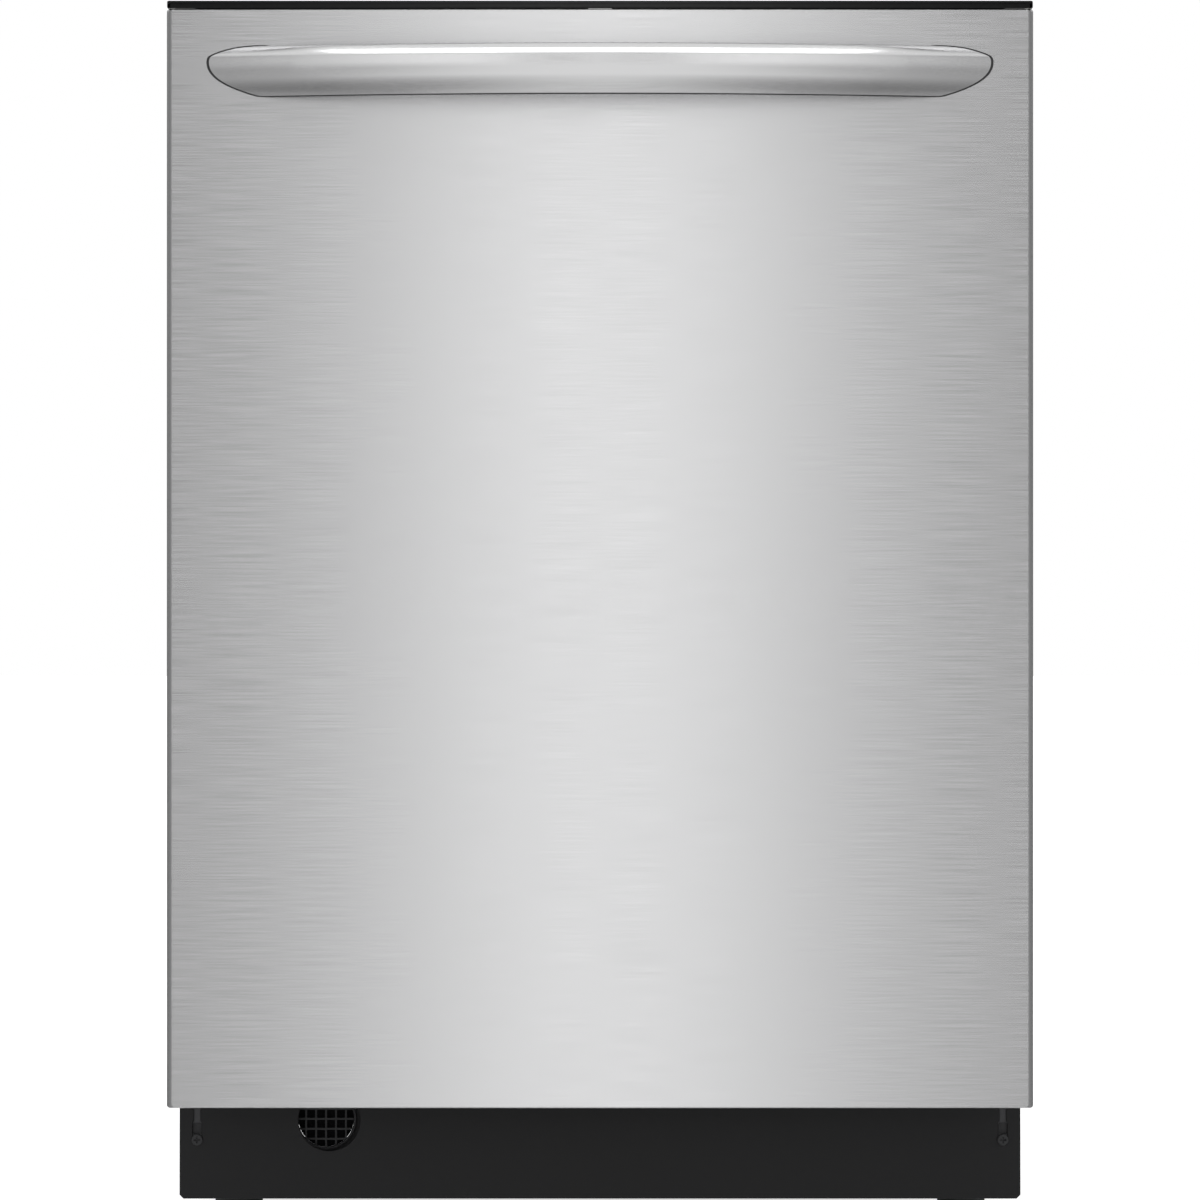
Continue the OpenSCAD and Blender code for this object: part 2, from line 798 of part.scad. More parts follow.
module bar_section() {
    r = bow_r;
    polygon([[r - 0.6, crease_z], [r, crease_z - bar_face * 0.12], [r - 0.7, crease_z - bar_face * 0.3],
        [r - 3.4, crease_z - bar_face * 0.6], [r - 7.6, crease_z - bar_face * 0.85],
        [r - bar_bottom_in, crease_z - bar_face],
        [r - bar_t + 1, crease_z - bar_face + 1.4], [r - bar_t, crease_z - bar_face + 4],
        [r - bar_t, crease_z + bar_top - 4], [r - bar_t + 2, crease_z + bar_top - 1],
        [r - bar_top_in - 3.5, crease_z + bar_top], [r - bar_top_in, crease_z + bar_top * 0.82],
        [r - bar_top_in / 2, crease_z + bar_top * 0.5]]);
}

bow_sweep = 50;
foot_extra = 5;

module handle() {
    reach = sqrt(pow(bow_r, 2) - pow(bow_r - handle_reach, 2)) + foot_extra;
    color("silver") placed() intersection() {
        translate([0, bow_r - handle_reach, 0]) rotate([0, 0, -90 - bow_sweep / 2])
            rotate_extrude(angle = bow_sweep, $fn = 180) bar_section();
        span([-reach, -handle_reach - eps, crease_z - bar_face - eps], [reach, 0, crease_z + bar_top + eps]);
    }
}

handle_screw_x = sqrt(pow(bow_r - bar_t, 2) - pow(bow_r - handle_reach, 2)) + 12;

module handle_screws() {
    color("gray") placed() both_sides()
        rod_y(handle_screw_x, crease_z - bar_face / 2, sheet_t, sheet_t + 3.5, 5);
}

// ---- Console ----

console_t = 3;
console_back = door_t - sheet_t - gap;
button_v = 33;
board_z = body_h - 19;
board_t = 1.6;
board_front = 20;
board_back = 46;
switch_h = 3.2;
switch_half = 3;
front_lip = 0.6;
end_gap = 0.3;
apron_t = 2.5;
apron_h = 30;
boss_x = (button_count + 0.2) * button_pitch / 2 + 14;
board_half = boss_x + 8;

function button_x(i) = (i - (button_count + 1) / 2) * button_pitch;

module control_console() {
    x = body_w / 2;
    top = body_h;
    color([0.07, 0.07, 0.07]) placed() difference() {
        union() {
            span([-x + end_gap, front_lip, top - console_t], [x - end_gap, console_back, top]);
            span([-x + end_gap, front_lip, panel_top + gap], [x - end_gap, console_t, top - 1]);
            span([-liner_w / 2 + 8, console_back - apron_t, liner_high - apron_h],
                [liner_w / 2 - 8, console_back, top - 1]);
            both_sides() {
                span([x - console_t, front_lip, panel_top + gap], [x - end_gap, console_back, top - 1]);
                rod_z(boss_x, button_v, board_z + board_t, top - 1, 3);
            }
        }
        for (i = [1:button_count])
            span([button_x(i) - button_l / 2 - gap, button_v - button_w / 2 - gap, top - console_t - eps],
                [button_x(i) + button_l / 2 + gap, button_v + button_w / 2 + gap, top + eps]);
        span([-hook_slot_w / 2, console_back - 2 * apron_t, hook_slot_low - 4],
            [hook_slot_w / 2, door_t, top - console_t]);
    }
}

module control_board() {
    color("darkgreen") placed() {
        span([-board_half, board_front, board_z], [board_half, board_back, board_z + board_t]);
        for (i = [1:button_count])
            span([button_x(i) - switch_half, button_v - switch_half, board_z + board_t],
                [button_x(i) + switch_half, button_v + switch_half, board_z + board_t + switch_h]);
    }
}

rim = 1.5;
stem_r = 2;

// A button with a rim that keeps it from falling out and a stem that works its switch
module button(i) {
    top = body_h;
    under = top - console_t - gap;
    half_l = button_l / 2;
    half_w = button_w / 2;
    color([0.16, 0.16, 0.17]) placed() translate([button_x(i), button_v, 0]) {
        span([-half_l, -half_w, under - eps], [half_l, half_w, top]);
        span([-half_l - rim, -half_w - rim, under - rim], [half_l + rim, half_w + rim, under]);
        rod_z(0, 0, board_z + board_t + switch_h + button_travel + eps, under - 1, stem_r);
    }
}

module button_1() { button(1); }
module button_2() { button(2); }
module button_3() { button(3); }
module button_4() { button(4); }
module button_5() { button(5); }
module button_6() { button(6); }

// ---- Latch and dispenser ----

trunnion_r = 3;
housing_half = 16;
housing_t = 3;
housing_low = hook_z - 12;
housing_high = hook_z + 8.5;
hook_end = tub_front + 18;
hook_t = 5;
barb_l = 3;
barb_h = 1.5;

module latch_housing() {
    color([0.15, 0.15, 0.15]) placed() difference() {
        span([-housing_half, hook_v - housing_half, housing_low],
            [housing_half, console_back - apron_t - eps, housing_high]);
        span([-hook_slot_w / 2, hook_v - housing_half + housing_t, housing_low + housing_t],
            [hook_slot_w / 2, door_t, housing_high + eps]);
        rod_x(hook_v, hook_z, -housing_half - eps, housing_half + eps, trunnion_r + run_fit);
    }
}

module latch_hook() {
    half = hook_slot_w / 2 - 1;
    low = hook_z + 1 - hook_t;
    color("gainsboro") placed() {
        span([-half, hook_v - 4, low], [half, hook_end, hook_z + 1]);
        span([-half, hook_end - barb_l, low - barb_h], [half, hook_end, hook_z + 1]);
        rod_x(hook_v, hook_z, 2 - housing_half, housing_half - 2, trunnion_r);
    }
}

cup_x0 = -dispenser_x + 8;
cup_x1 = -4;
cup_z0 = dispenser_low + 8;
cup_z1 = cup_z0 + 70;
face_v = door_t + 1.5;
cap_r = 14;
cap_x = -dispenser_x / 2;
cap_z = (cup_z1 + dispenser_high) / 2 + 2;
plug_r = cap_r - 4;
flange_w = 4;
lid_over = 3;
lid_t = 2;
ridge_h = 4;
cap_t = 3;

module dispenser_body() {
    x = dispenser_x - gap;
    color([0.25, 0.25, 0.27]) placed() difference() {
        union() {
            span([-x, recess_v + gap, dispenser_low + gap], [x, face_v - 1, dispenser_high - gap]);
            span([-x - flange_w, door_t, dispenser_low - flange_w],
                [x + flange_w, face_v, dispenser_high + flange_w]);
        }
        span([cup_x0, recess_v + 4, cup_z0], [cup_x1, face_v + eps, cup_z1]);
        rod_y(cap_x, cap_z, face_v - 8, face_v + eps, plug_r);
        span([10, recess_v, dispenser_low + 6], [x - 4, face_v - 4, dispenser_high - 6]);
    }
}

module dispenser_lid() {
    color([0.35, 0.35, 0.37]) placed() {
        span([cup_x0 - lid_over, face_v + gap, cup_z0 - lid_over],
            [cup_x1 + 1, face_v + gap + lid_t, cup_z1 + lid_over]);
        span([cup_x1 - 12, face_v + lid_t, cup_z0 + 12], [cup_x1 - 6, face_v + lid_t + ridge_h, cup_z1 - 12]);
    }
}

module rinse_aid_cap() {
    color([0.1, 0.3, 0.5]) placed() {
        rod_y(cap_x, cap_z, face_v - 6, face_v + gap + eps, plug_r - gap);
        rod_y(cap_x, cap_z, face_v + gap, face_v + cap_t, cap_r);
        span([cap_x - cap_r + 2, face_v + cap_t - 1, cap_z - cap_t / 2],
            [cap_x + cap_r - 2, face_v + cap_t + ridge_h, cap_z + cap_t / 2]);
    }
}

float_r = 20;
float_h = 20;
float_stem_l = 22;

module float() {
    color("whitesmoke") placed() {
        rod_z(float_x, float_v, tub_floor_z + gap, tub_floor_z + float_h, float_r);
        rod_z(float_x, float_v, deck_z - float_stem_l, tub_floor_z + 1, float_stem_r);
    }
}

// ---- Racks ----

// Where each of a row of wires starts, in a row of a given length
function wire_starts(length) =
    let (n = floor((length - wire_t) / wire_pitch)) [for (i = [0:n]) i * (length - wire_t) / n];

// A flat grid of square wires, w wide along X and d deep along the depth
module floor_grid(w, d, v, z) {
    t = wire_t;
    for (x = wire_starts(w)) span([x - w / 2, v, z], [x - w / 2 + t, v + d, z + t]);
    for (step = wire_starts(d)) span([-w / 2, v + step, z], [w / 2, v + step + t, z + t]);
}

// An upright grid, w long along X, with rails at its foot, middle and top
module wall_grid(w, v, z, h) {
    t = wire_t;
    for (x = wire_starts(w)) span([x - w / 2, v, z], [x - w / 2 + t, v + t, z + h]);
    for (level = [0, 0.5, 1])
        span([-w / 2, v, z + level * (h - t)], [w / 2, v + t, z + level * (h - t) + t]);
}

// The floor and four sides of a rack, each a flat grid of its own
module rack_shell(z, h) {
    t = wire_t;
    inset = 2 * (t + gap);
    floor_grid(rack_w - inset, rack_d - inset, rack_v + t + gap, z);
    for (v = [rack_v, rack_v + rack_d - t]) wall_grid(rack_w - inset, v, z, h);
    both_sides() translate([rack_w / 2, rack_mid_v, 0]) rotate([0, 0, 90]) wall_grid(rack_d, 0, z, h);
}

// A row of upright tines across the rack
module tine_row(x0, x1, v, z, h) {
    t = wire_t;
    span([x0, v, z], [x1, v + t, z + t]);
    for (x = wire_starts(x1 - x0)) span([x0 + x, v, z], [x0 + x + t, v + t, z + h]);
}

axle_r = 3;
wheel_w = 10;
wheel_x = rack_w / 2 + 4;
axle_z = ledge_z + gap + wheel_r;
axle_front_v = rack_v + 60 + wheel_r;
axle_rear_v = rack_v + rack_d - 40;
tine_h = 84;
basket_v = rack_v + 14;
basket_d = 74;
basket_w = 260;
basket_h = 120;
basket_z = low_rack_z + wire_t + gap;
fold_v = rack_v + 300;
fold_z = basket_z + 6;
fold_half = 150;
fold_r = 2.5;
fold_count = 8;
fold_end = 8;
fold_tine_r = 2;
tine_rows = [120, 180, 240, 400];
tine_inset = 50;
lug_half = 7;
clip_half = 4;
clip_inset = 26;

module lower_rack() {
    color("lightslategray") placed() {
        rack_shell(low_rack_z, low_rack_h);
        for (v = tine_rows)
            tine_row(-rack_w / 2 + tine_inset, rack_w / 2 - tine_inset, rack_v + v, basket_z, tine_h);
        both_sides() for (v = [axle_front_v, axle_rear_v]) {
            span([rack_w / 2 + gap, v - lug_half, axle_z - lug_half],
                [wheel_x - gap, v + lug_half, low_rack_z + 40]);
            rod_x(v, axle_z, wheel_x - gap - eps, wheel_x + wheel_w + gap, axle_r);
            rod_x(v, axle_z, wheel_x + wheel_w + gap, wheel_x + wheel_w + 2, axle_r + 2);
        }
        for (x = [clip_inset - fold_half, 0, fold_half - clip_inset]) difference() {
            span([x - clip_half, fold_v - lug_half, basket_z], [x + clip_half, fold_v + lug_half, fold_z + 6]);
            rod_x(fold_v, fold_z, x - clip_half - eps, x + clip_half + eps, fold_r + run_fit);
        }
    }
}

module wheel_pair(v) {
    color("lightgray") placed() both_sides() difference() {
        rod_x(v, axle_z, wheel_x, wheel_x + wheel_w, wheel_r);
        rod_x(v, axle_z, wheel_x - eps, wheel_x + wheel_w + eps, axle_r + run_fit);
    }
}

module lower_rack_wheels_front() { wheel_pair(axle_front_v); }
module lower_rack_wheels_rear() { wheel_pair(axle_rear_v); }

module fold_tines() {
    first = fold_end - fold_half;
    color("lightslategray") placed() {
        rod_x(fold_v, fold_z, -fold_half, fold_half, fold_r);
        for (i = [0:fold_count - 1])
            rod_z(first * (1 - 2 * i / (fold_count - 1)), fold_v, fold_z, basket_z + tine_h, fold_tine_r);
    }
}

basket_cells = 4;
basket_t = 2;

module silverware_basket() {
    t = basket_t;
    cells = basket_cells;
    cell = (basket_w - t) / cells;
    color([0.45, 0.46, 0.48]) placed() difference() {
        span([-basket_w / 2, basket_v, basket_z], [basket_w / 2, basket_v + basket_d, basket_z + basket_h]);
        for (i = [0:cells - 1])
            span([-basket_w / 2 + t + i * cell, basket_v + t, basket_z + t],
                [-basket_w / 2 + (i + 1) * cell, basket_v + basket_d - t, basket_z + basket_h + eps]);
    }
}

runner_x = rail_x - rail_t - 2 * gap;
runner_z = rail_z + rail_t + gap;
up_arm_z = up_rack_z - 40;
pipe_z = up_arm_z + arm_t + 5;
pipe_w = 26;
pipe_h = 14;
up_tine_rows = [-90, -30, 30, 90];
up_tine_inset = 40;
up_tine_h = 60;
knuckle_l = 10;
knuckle_half = 6;
shelf_x = rack_w / 2 - 14;
shelf_z = up_rack_z + up_rack_h - wire_t / 2;
shelf_w = 90;
shelf_pin_r = 3;

module upper_rack() {
    color("lightslategray") placed() {
        rack_shell(up_rack_z, up_rack_h);
        for (x = up_tine_rows) translate([x, rack_mid_v, 0]) rotate([0, 0, 90])
            tine_row(up_tine_inset - rack_d / 2, rack_d / 2 - up_tine_inset, 0,
                up_rack_z + wire_t + gap, up_tine_h);
        both_sides() span([rack_w / 2 + gap, rack_v + 6, runner_z],
            [runner_x, rack_v + rack_d - 6, rail_z + rail_h - 2 * rail_t]);
        rod_z(0, rack_mid_v, up_arm_z + arm_t + gap, pipe_z + pipe_h, post_r + 2);
        span([-pipe_w / 2, rack_mid_v, pipe_z], [pipe_w / 2, duct_v - 2 * gap, pipe_z + pipe_h]);
        rod_z(0, rack_mid_v, pipe_z + pipe_h - 1, up_rack_z - gap, post_pin_r);
        rod_z(0, rack_mid_v, up_arm_z - gap, pipe_z, post_pin_r);
        rod_z(0, rack_mid_v, up_arm_z - 5, up_arm_z - gap, post_r - 2);
        for (v = [rack_v + up_tine_inset, rack_v + rack_d - 60]) difference() {
            span([shelf_x - knuckle_half, v, shelf_z - knuckle_half],
                [rack_w / 2 - wire_t - gap, v + knuckle_l, shelf_z + knuckle_half]);
            rod_y(shelf_x, shelf_z, v - eps, v + knuckle_l + eps, shelf_pin_r + run_fit);
        }
    }
}

module upper_spray_arm() { color("gray") placed() spray_arm(rack_mid_v, up_arm_z); }

shelf_end = 24;
shelf_half_t = 2;
shelf_rib = 10;
shelf_hole = 20;

module cup_shelf() {
    v0 = rack_v + 30;
    v1 = rack_v + rack_d - 40;
    color("lightgray") placed() {
        rod_y(shelf_x, shelf_z, v0, v1, shelf_pin_r);
        difference() {
            span([shelf_x - shelf_w, v0 + shelf_end, shelf_z - shelf_half_t],
                [shelf_x, v1 - shelf_end, shelf_z + shelf_half_t]);
            for (v = [v0 + shelf_end + shelf_rib:shelf_hole + shelf_rib:v1 - 60])
                span([shelf_x - shelf_w + shelf_rib, v, shelf_z - shelf_half_t - eps],
                    [shelf_x - 18, v + shelf_hole, shelf_z + shelf_half_t + eps]);
        }
    }
}

base_frame();
tub_wrapper();
tub_back();
tub_floor();
insulation_blanket();
access_panel();
vent_grille();
kick_brackets();
toe_kick_screws();
countertop_brackets();
tub_gasket();
sump();
filter_plate();
spray_arm_post();
heating_element();
wash_pump();
drain_pump();
water_inlet_valve();
junction_box();
feed_tube();
top_spray_head();
rack_rails();
latch_strike();
hinge_brackets();
hinge_springs();
toe_kick();
foot_front_left();
foot_front_right();
foot_rear_left();
foot_rear_right();
door_outer_panel();
door_insulation();
door_inner_liner();
hinge_arms();
handle();
handle_screws();
control_console();
control_board();
latch_housing();
latch_hook();
dispenser_body();
dispenser_lid();
rinse_aid_cap();
button_1();
button_2();
button_3();
button_4();
button_5();
button_6();
filter_cup();
float();
lower_spray_arm();
lower_rack();
lower_rack_wheels_front();
lower_rack_wheels_rear();
fold_tines();
silverware_basket();
upper_rack();
upper_spray_arm();
cup_shelf();
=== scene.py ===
# %% [markdown]
# # A built-in dishwasher
#
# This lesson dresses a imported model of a 24 inch dishwasher: brushed steel door, bowed
# handle, black console and toe kick, and everything behind the door. Sizes come from the
# frame, so each cell starts by asking the frame where a piece lies.

# %% Load the frame
import json
import math

import bmesh
import bpy
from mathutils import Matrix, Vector
from mathutils.geometry import delaunay_2d_cdt


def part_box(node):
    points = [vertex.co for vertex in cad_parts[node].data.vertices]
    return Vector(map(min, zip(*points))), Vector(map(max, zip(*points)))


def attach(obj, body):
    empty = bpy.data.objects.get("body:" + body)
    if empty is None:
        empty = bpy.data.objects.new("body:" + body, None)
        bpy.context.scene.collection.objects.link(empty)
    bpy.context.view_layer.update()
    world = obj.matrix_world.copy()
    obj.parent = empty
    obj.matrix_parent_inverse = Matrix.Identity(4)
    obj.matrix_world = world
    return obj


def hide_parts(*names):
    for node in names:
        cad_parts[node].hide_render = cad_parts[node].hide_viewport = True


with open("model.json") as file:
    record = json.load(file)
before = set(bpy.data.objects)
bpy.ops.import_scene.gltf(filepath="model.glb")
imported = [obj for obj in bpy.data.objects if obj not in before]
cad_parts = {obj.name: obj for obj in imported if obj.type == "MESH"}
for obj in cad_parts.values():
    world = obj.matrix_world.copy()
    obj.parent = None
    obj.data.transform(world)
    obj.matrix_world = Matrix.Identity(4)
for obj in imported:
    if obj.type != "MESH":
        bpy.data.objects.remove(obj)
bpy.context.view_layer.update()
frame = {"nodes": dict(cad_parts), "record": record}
nodes = frame["nodes"]

# %% [markdown]
# A level front view from far away keeps every edge straight. A camera close by would make
# the bowed handle seem to arch, and tilting it down would make the door's sides lean. The
# lens is long enough for the frame to be just wider than the machine is tall.

# %% Place the camera
MM = 0.001
panel_low, panel_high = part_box("door_outer_panel")
door_face = panel_low.y
camera_distance = 5.7
camera_height = 431 * MM
FRAME_WIDTH = 838.68 * MM

camera_data = bpy.data.cameras.new("camera")
camera_data.sensor_width = 36
camera_data.lens = 36 * camera_distance / FRAME_WIDTH
camera = bpy.data.objects.new("camera", camera_data)
camera.location = (0, door_face - camera_distance, camera_height)
camera.rotation_euler = (math.radians(90), 0, 0)
bpy.context.scene.collection.objects.link(camera)
bpy.context.scene.camera = camera
bpy.context.scene.view_settings.view_transform = "Standard"
print("the camera stands", camera_distance, "m in front of the door")

# %% [markdown]
# Brushed steel is only as good as what it mirrors. A studio puts bright cards in front of
# the machine and lets the sides fall off, which gives the door its bright middle and darker
# edges. The world does that here. Near the level its brightness follows the compass
# direction, and above and below it follows how far a direction leans to the side. Rays
# straight from the camera see plain white. Lamps alone could do it too, but they would
# leave the steel black wherever no lamp is mirrored.

# %% Helpers for node trees
def node_tools(tree):
    """Short ways to add nodes and to link them in one tree."""

    def add(kind, **settings):
        made = tree.nodes.new(kind)
        for key, value in settings.items():
            setattr(made, key, value)
        return made

    def feed(socket, value):
        if hasattr(value, "is_output"):
            tree.links.new(value, socket)
        else:
            socket.default_value = value

    def math_node(operation, *values):
        made = add("ShaderNodeMath", operation=operation)
        for socket, value in zip(made.inputs, values):
            feed(socket, value)
        return made.outputs[0]

    return add, feed, math_node


# %% Light the studio
BRIGHTEST = 3.0
# The studio is tipped a little, so that the door mirrors the part just below the horizon
TIP = 3.7
# Brightness against the compass angle away from straight in front, in degrees
AROUND = ((0, 2.95), (1.5, 0.58), (3.0, 0.05), (5.0, 0.30), (9.0, 0.95), (13, 1.08), (17, 1.02),
          (27, 0.80), (34, 0.60), (40, 0.46), (60, 0.33), (84, 0.25), (112, 0.15), (180, 0.13))
# Brightness overhead, downward and underfoot, against how far a direction leans to the side
OVERHEAD = ((0, 0.80), (0.30, 0.80), (0.45, 0.75), (0.60, 0.35), (1, 0.35))
DOWNWARD = ((0, 0.85), (0.12, 0.85), (0.25, 0.80), (0.40, 0.55), (0.60, 0.36), (1, 0.30))
UNDERFOOT = ((0, 0.85), (0.10, 0.60), (0.18, 0.32), (0.26, 0.24), (0.36, 0.10), (1, 0.10))
# A high white wall behind the machine, with a dark gap at each side of its middle. Bars
# that bow away from the door mirror the gap near their tips
REAR = ((0, 0.85), (0.30, 0.85), (0.33, 0.03), (0.44, 0.03), (0.54, 0.70), (1.3, 0.70))


def build_world():
    world = bpy.data.worlds.new("studio")
    bpy.context.scene.world = world
    world.use_nodes = True
    tree = world.node_tree
    tree.nodes.clear()
    add, feed, math_node = node_tools(tree)

    def profile(value, stops, reach):
        """Brightness that follows a list of stops along a value from 0 to reach."""
        made = add("ShaderNodeValToRGB")
        feed(made.inputs[0], math_node("DIVIDE", value, reach))
        points = made.color_ramp.elements
        while len(points) < len(stops):
            points.new(0.5)
        for point, (place, light) in zip(points, stops):
            point.position = place / stops[-1][0]
            point.color = (light / BRIGHTEST,) * 3 + (1,)
        return math_node("MULTIPLY", made.outputs["Color"], BRIGHTEST)

    def blend_to(amount, first, second):
        made = add("ShaderNodeMix", data_type="FLOAT")
        for key, number in zip(("Factor", "A", "B"), (amount, first, second)):
            feed(made.inputs[key], number)
        return made.outputs[0]

    def ramp(value, start, stop):
        made = add("ShaderNodeMapRange")
        for socket, number in zip(made.inputs, (value, start, stop, 0.0, 1.0)):
            feed(socket, number)
        return made.outputs[0]

    tip = add("ShaderNodeVectorRotate", rotation_type="X_AXIS")
    feed(tip.inputs["Vector"], add("ShaderNodeTexCoord").outputs["Generated"])
    feed(tip.inputs["Angle"], math.radians(TIP))
    split = add("ShaderNodeSeparateXYZ")
    feed(split.inputs[0], tip.outputs[0])
    ahead = math_node("MULTIPLY", split.outputs["Y"], -1.0)
    turn = math_node("ABSOLUTE", math_node("ARCTAN2", split.outputs["X"], ahead))
    lean = math_node("ABSOLUTE", split.outputs["X"])
    level = profile(turn, AROUND, math.pi)
    level = blend_to(ramp(split.outputs["Z"], 0.25, 0.70), level, profile(lean, OVERHEAD, 1.0))
    rear = math_node("MULTIPLY", ramp(split.outputs["Y"], -0.05, 0.2), ramp(split.outputs["Z"], 0.06, 0.34))
    aside = math_node("ADD", lean, math_node("MULTIPLY", split.outputs["Y"], 0.315))
    level = blend_to(rear, level, profile(aside, REAR, 1.3))
    below = math_node("MULTIPLY", split.outputs["Z"], -1.0)
    level = blend_to(ramp(below, 0.10, 0.35), level, profile(lean, DOWNWARD, 1.0))
    level = blend_to(ramp(below, 0.70, 0.98), level, profile(lean, UNDERFOOT, 1.0))
    background = add("ShaderNodeBackground")
    background.inputs["Color"].default_value = (1, 1, 1, 1)
    feed(background.inputs["Strength"],
         blend_to(add("ShaderNodeLightPath").outputs["Is Camera Ray"], level, 1.0))
    feed(add("ShaderNodeOutputWorld").inputs["Surface"], background.outputs[0])


def area_light(name, place, aim, size, size_y, power, mirrored=True):
    data = bpy.data.lights.new(name, "AREA")
    data.shape = "RECTANGLE"
    data.size = size
    data.size_y = size_y
    data.energy = power
    lamp = bpy.data.objects.new(name, data)
    lamp.location = place
    lamp.rotation_euler = (Vector(aim) - Vector(place)).to_track_quat("-Z", "Y").to_euler()
    lamp.visible_glossy = mirrored
    bpy.context.scene.collection.objects.link(lamp)


build_world()
area_light("top_softbox", (0, -0.9, 3.0), (0, 0, 0.4), 1.8, 1.6, 17)
# The side lamps are kept out of reflections, or they would light the door's dark edges
area_light("left_softbox", (-3.2, -1.6, 1.6), (0, 0, 0.4), 1.2, 1.8, 14, mirrored=False)
area_light("right_softbox", (3.2, -1.6, 1.6), (0, 0, 0.4), 1.2, 1.8, 14, mirrored=False)
area_light("rear_softbox", (0, 3.4, 1.8), (0, 0, 0.4), 2.2, 1.6, 18)
print("studio lit by a world and", len(bpy.data.lights), "lamps")

# %% [markdown]
# The floor is a pale matte plane under the machine. It is lit as everything else is, so it
# keeps the machine's shadow, and rays from the camera get a little extra white so that it
# runs into the background with no horizon line.

# %% Lay the floor
def build_floor():
    mesh = bpy.data.meshes.new("floor")
    half = 40.0
    mesh.from_pydata([(-half, -half, 0), (half, -half, 0), (half, half, 0), (-half, half, 0)],
                     [], [(0, 1, 2, 3)])
    floor = bpy.data.objects.new("floor", mesh)
    bpy.context.scene.collection.objects.link(floor)
    material = bpy.data.materials.new("studio_floor")
    material.use_nodes = True
    tree = material.node_tree
    tree.nodes.clear()
    add, feed, math_node = node_tools(tree)
    matte = add("ShaderNodeBsdfDiffuse")
    feed(matte.inputs["Color"], (0.8, 0.8, 0.8, 1))
    glow = add("ShaderNodeEmission")
    # Near the machine the floor keeps its shadow; further out it fades to plain white
    reach = add("ShaderNodeVectorMath", operation="LENGTH")
    feed(reach.inputs[0], add("ShaderNodeTexCoord").outputs["Object"])
    fade = add("ShaderNodeMapRange")
    for socket, number in zip(fade.inputs, (reach.outputs["Value"], 0.6, 1.8, 0.62, 1.2)):
        feed(socket, number)
    seen = add("ShaderNodeLightPath").outputs["Is Camera Ray"]
    feed(glow.inputs["Strength"], math_node("MULTIPLY", seen, fade.outputs[0]))
    both = add("ShaderNodeAddShader")
    feed(both.inputs[0], matte.outputs[0])
    feed(both.inputs[1], glow.outputs[0])
    feed(add("ShaderNodeOutputMaterial").inputs["Surface"], both.outputs[0])
    mesh.materials.append(material)
    floor.visible_glossy = False


build_floor()
print("floor laid")

# %% [markdown]
# Every finish starts from one recipe: a Principled shader whose colour, roughness and bump
# come from noise in the object's own metres, so the grain keeps its real scale on any
# piece. A stretched noise makes brush lines or drawn wire; a round one makes moulded grain.
# An image wrapped round each piece would show seams and would not keep the grain's scale.

# %% The shared recipe for a finish
def finish_of(name, slot, colour, roughness, metallic=0.0, stretch=(1, 1, 1), scale=200.0,
              tint=0.04, rough_spread=0.06, bump=0.05, depth=0.00005, anisotropic=0.0,
              quarter=0.0, coat=0.0, sheen=0.0, specular=0.5, blotch=0.0):
    """A procedural finish: fine noise, stretched if asked, varies colour, gloss and height."""
    material = bpy.data.materials.new(name)
    material.use_nodes = True
    tree = material.node_tree
    tree.nodes.clear()
    add, feed, math_node = node_tools(tree)
    where = add("ShaderNodeTexCoord").outputs["Object"]
    place = add("ShaderNodeMapping")
    feed(place.inputs["Vector"], where)
    place.inputs["Scale"].default_value = stretch
    grain = add("ShaderNodeTexNoise")
    feed(grain.inputs["Vector"], place.outputs[0])
    grain.inputs["Scale"].default_value = scale
    grain.inputs["Detail"].default_value = 3.0
    shade = add("ShaderNodeMapRange")
    feed(shade.inputs["Value"], grain.outputs["Fac"])
    feed(shade.inputs["From Min"], 0.3)
    feed(shade.inputs["From Max"], 0.7)
    feed(shade.inputs["To Min"], 1.0 - tint)
    feed(shade.inputs["To Max"], 1.0 + tint)
    strength = shade.outputs[0]
    if blotch:
        cloud = add("ShaderNodeTexNoise")
        feed(cloud.inputs["Vector"], where)
        cloud.inputs["Scale"].default_value = 6.0
        soft = add("ShaderNodeMapRange")
        feed(soft.inputs["Value"], cloud.outputs["Fac"])
        feed(soft.inputs["To Min"], 1.0 - blotch)
        feed(soft.inputs["To Max"], 1.0 + blotch)
        strength = math_node("MULTIPLY", strength, soft.outputs[0])
    paint = add("ShaderNodeVectorMath", operation="SCALE")
    paint.inputs[0].default_value = colour
    feed(paint.inputs["Scale"], strength)
    gloss = add("ShaderNodeMapRange")
    feed(gloss.inputs["Value"], grain.outputs["Fac"])
    feed(gloss.inputs["From Min"], 0.3)
    feed(gloss.inputs["From Max"], 0.7)
    feed(gloss.inputs["To Min"], max(0.02, roughness - rough_spread))
    feed(gloss.inputs["To Max"], min(1.0, roughness + rough_spread))
    relief = add("ShaderNodeBump")
    relief.inputs["Strength"].default_value = bump
    relief.inputs["Distance"].default_value = depth
    feed(relief.inputs["Height"], grain.outputs["Fac"])
    shader = add("ShaderNodeBsdfPrincipled")
    feed(shader.inputs["Base Color"], paint.outputs[0])
    feed(shader.inputs["Roughness"], gloss.outputs[0])
    feed(shader.inputs["Normal"], relief.outputs[0])
    shader.inputs["Metallic"].default_value = metallic
    shader.inputs["Anisotropic"].default_value = anisotropic
    shader.inputs["Anisotropic Rotation"].default_value = quarter
    shader.inputs["Coat Weight"].default_value = coat
    shader.inputs["Sheen Weight"].default_value = sheen
    shader.inputs["Specular IOR Level"].default_value = specular
    feed(add("ShaderNodeOutputMaterial").inputs["Surface"], shader.outputs[0])
    material["slot"] = slot
    return material


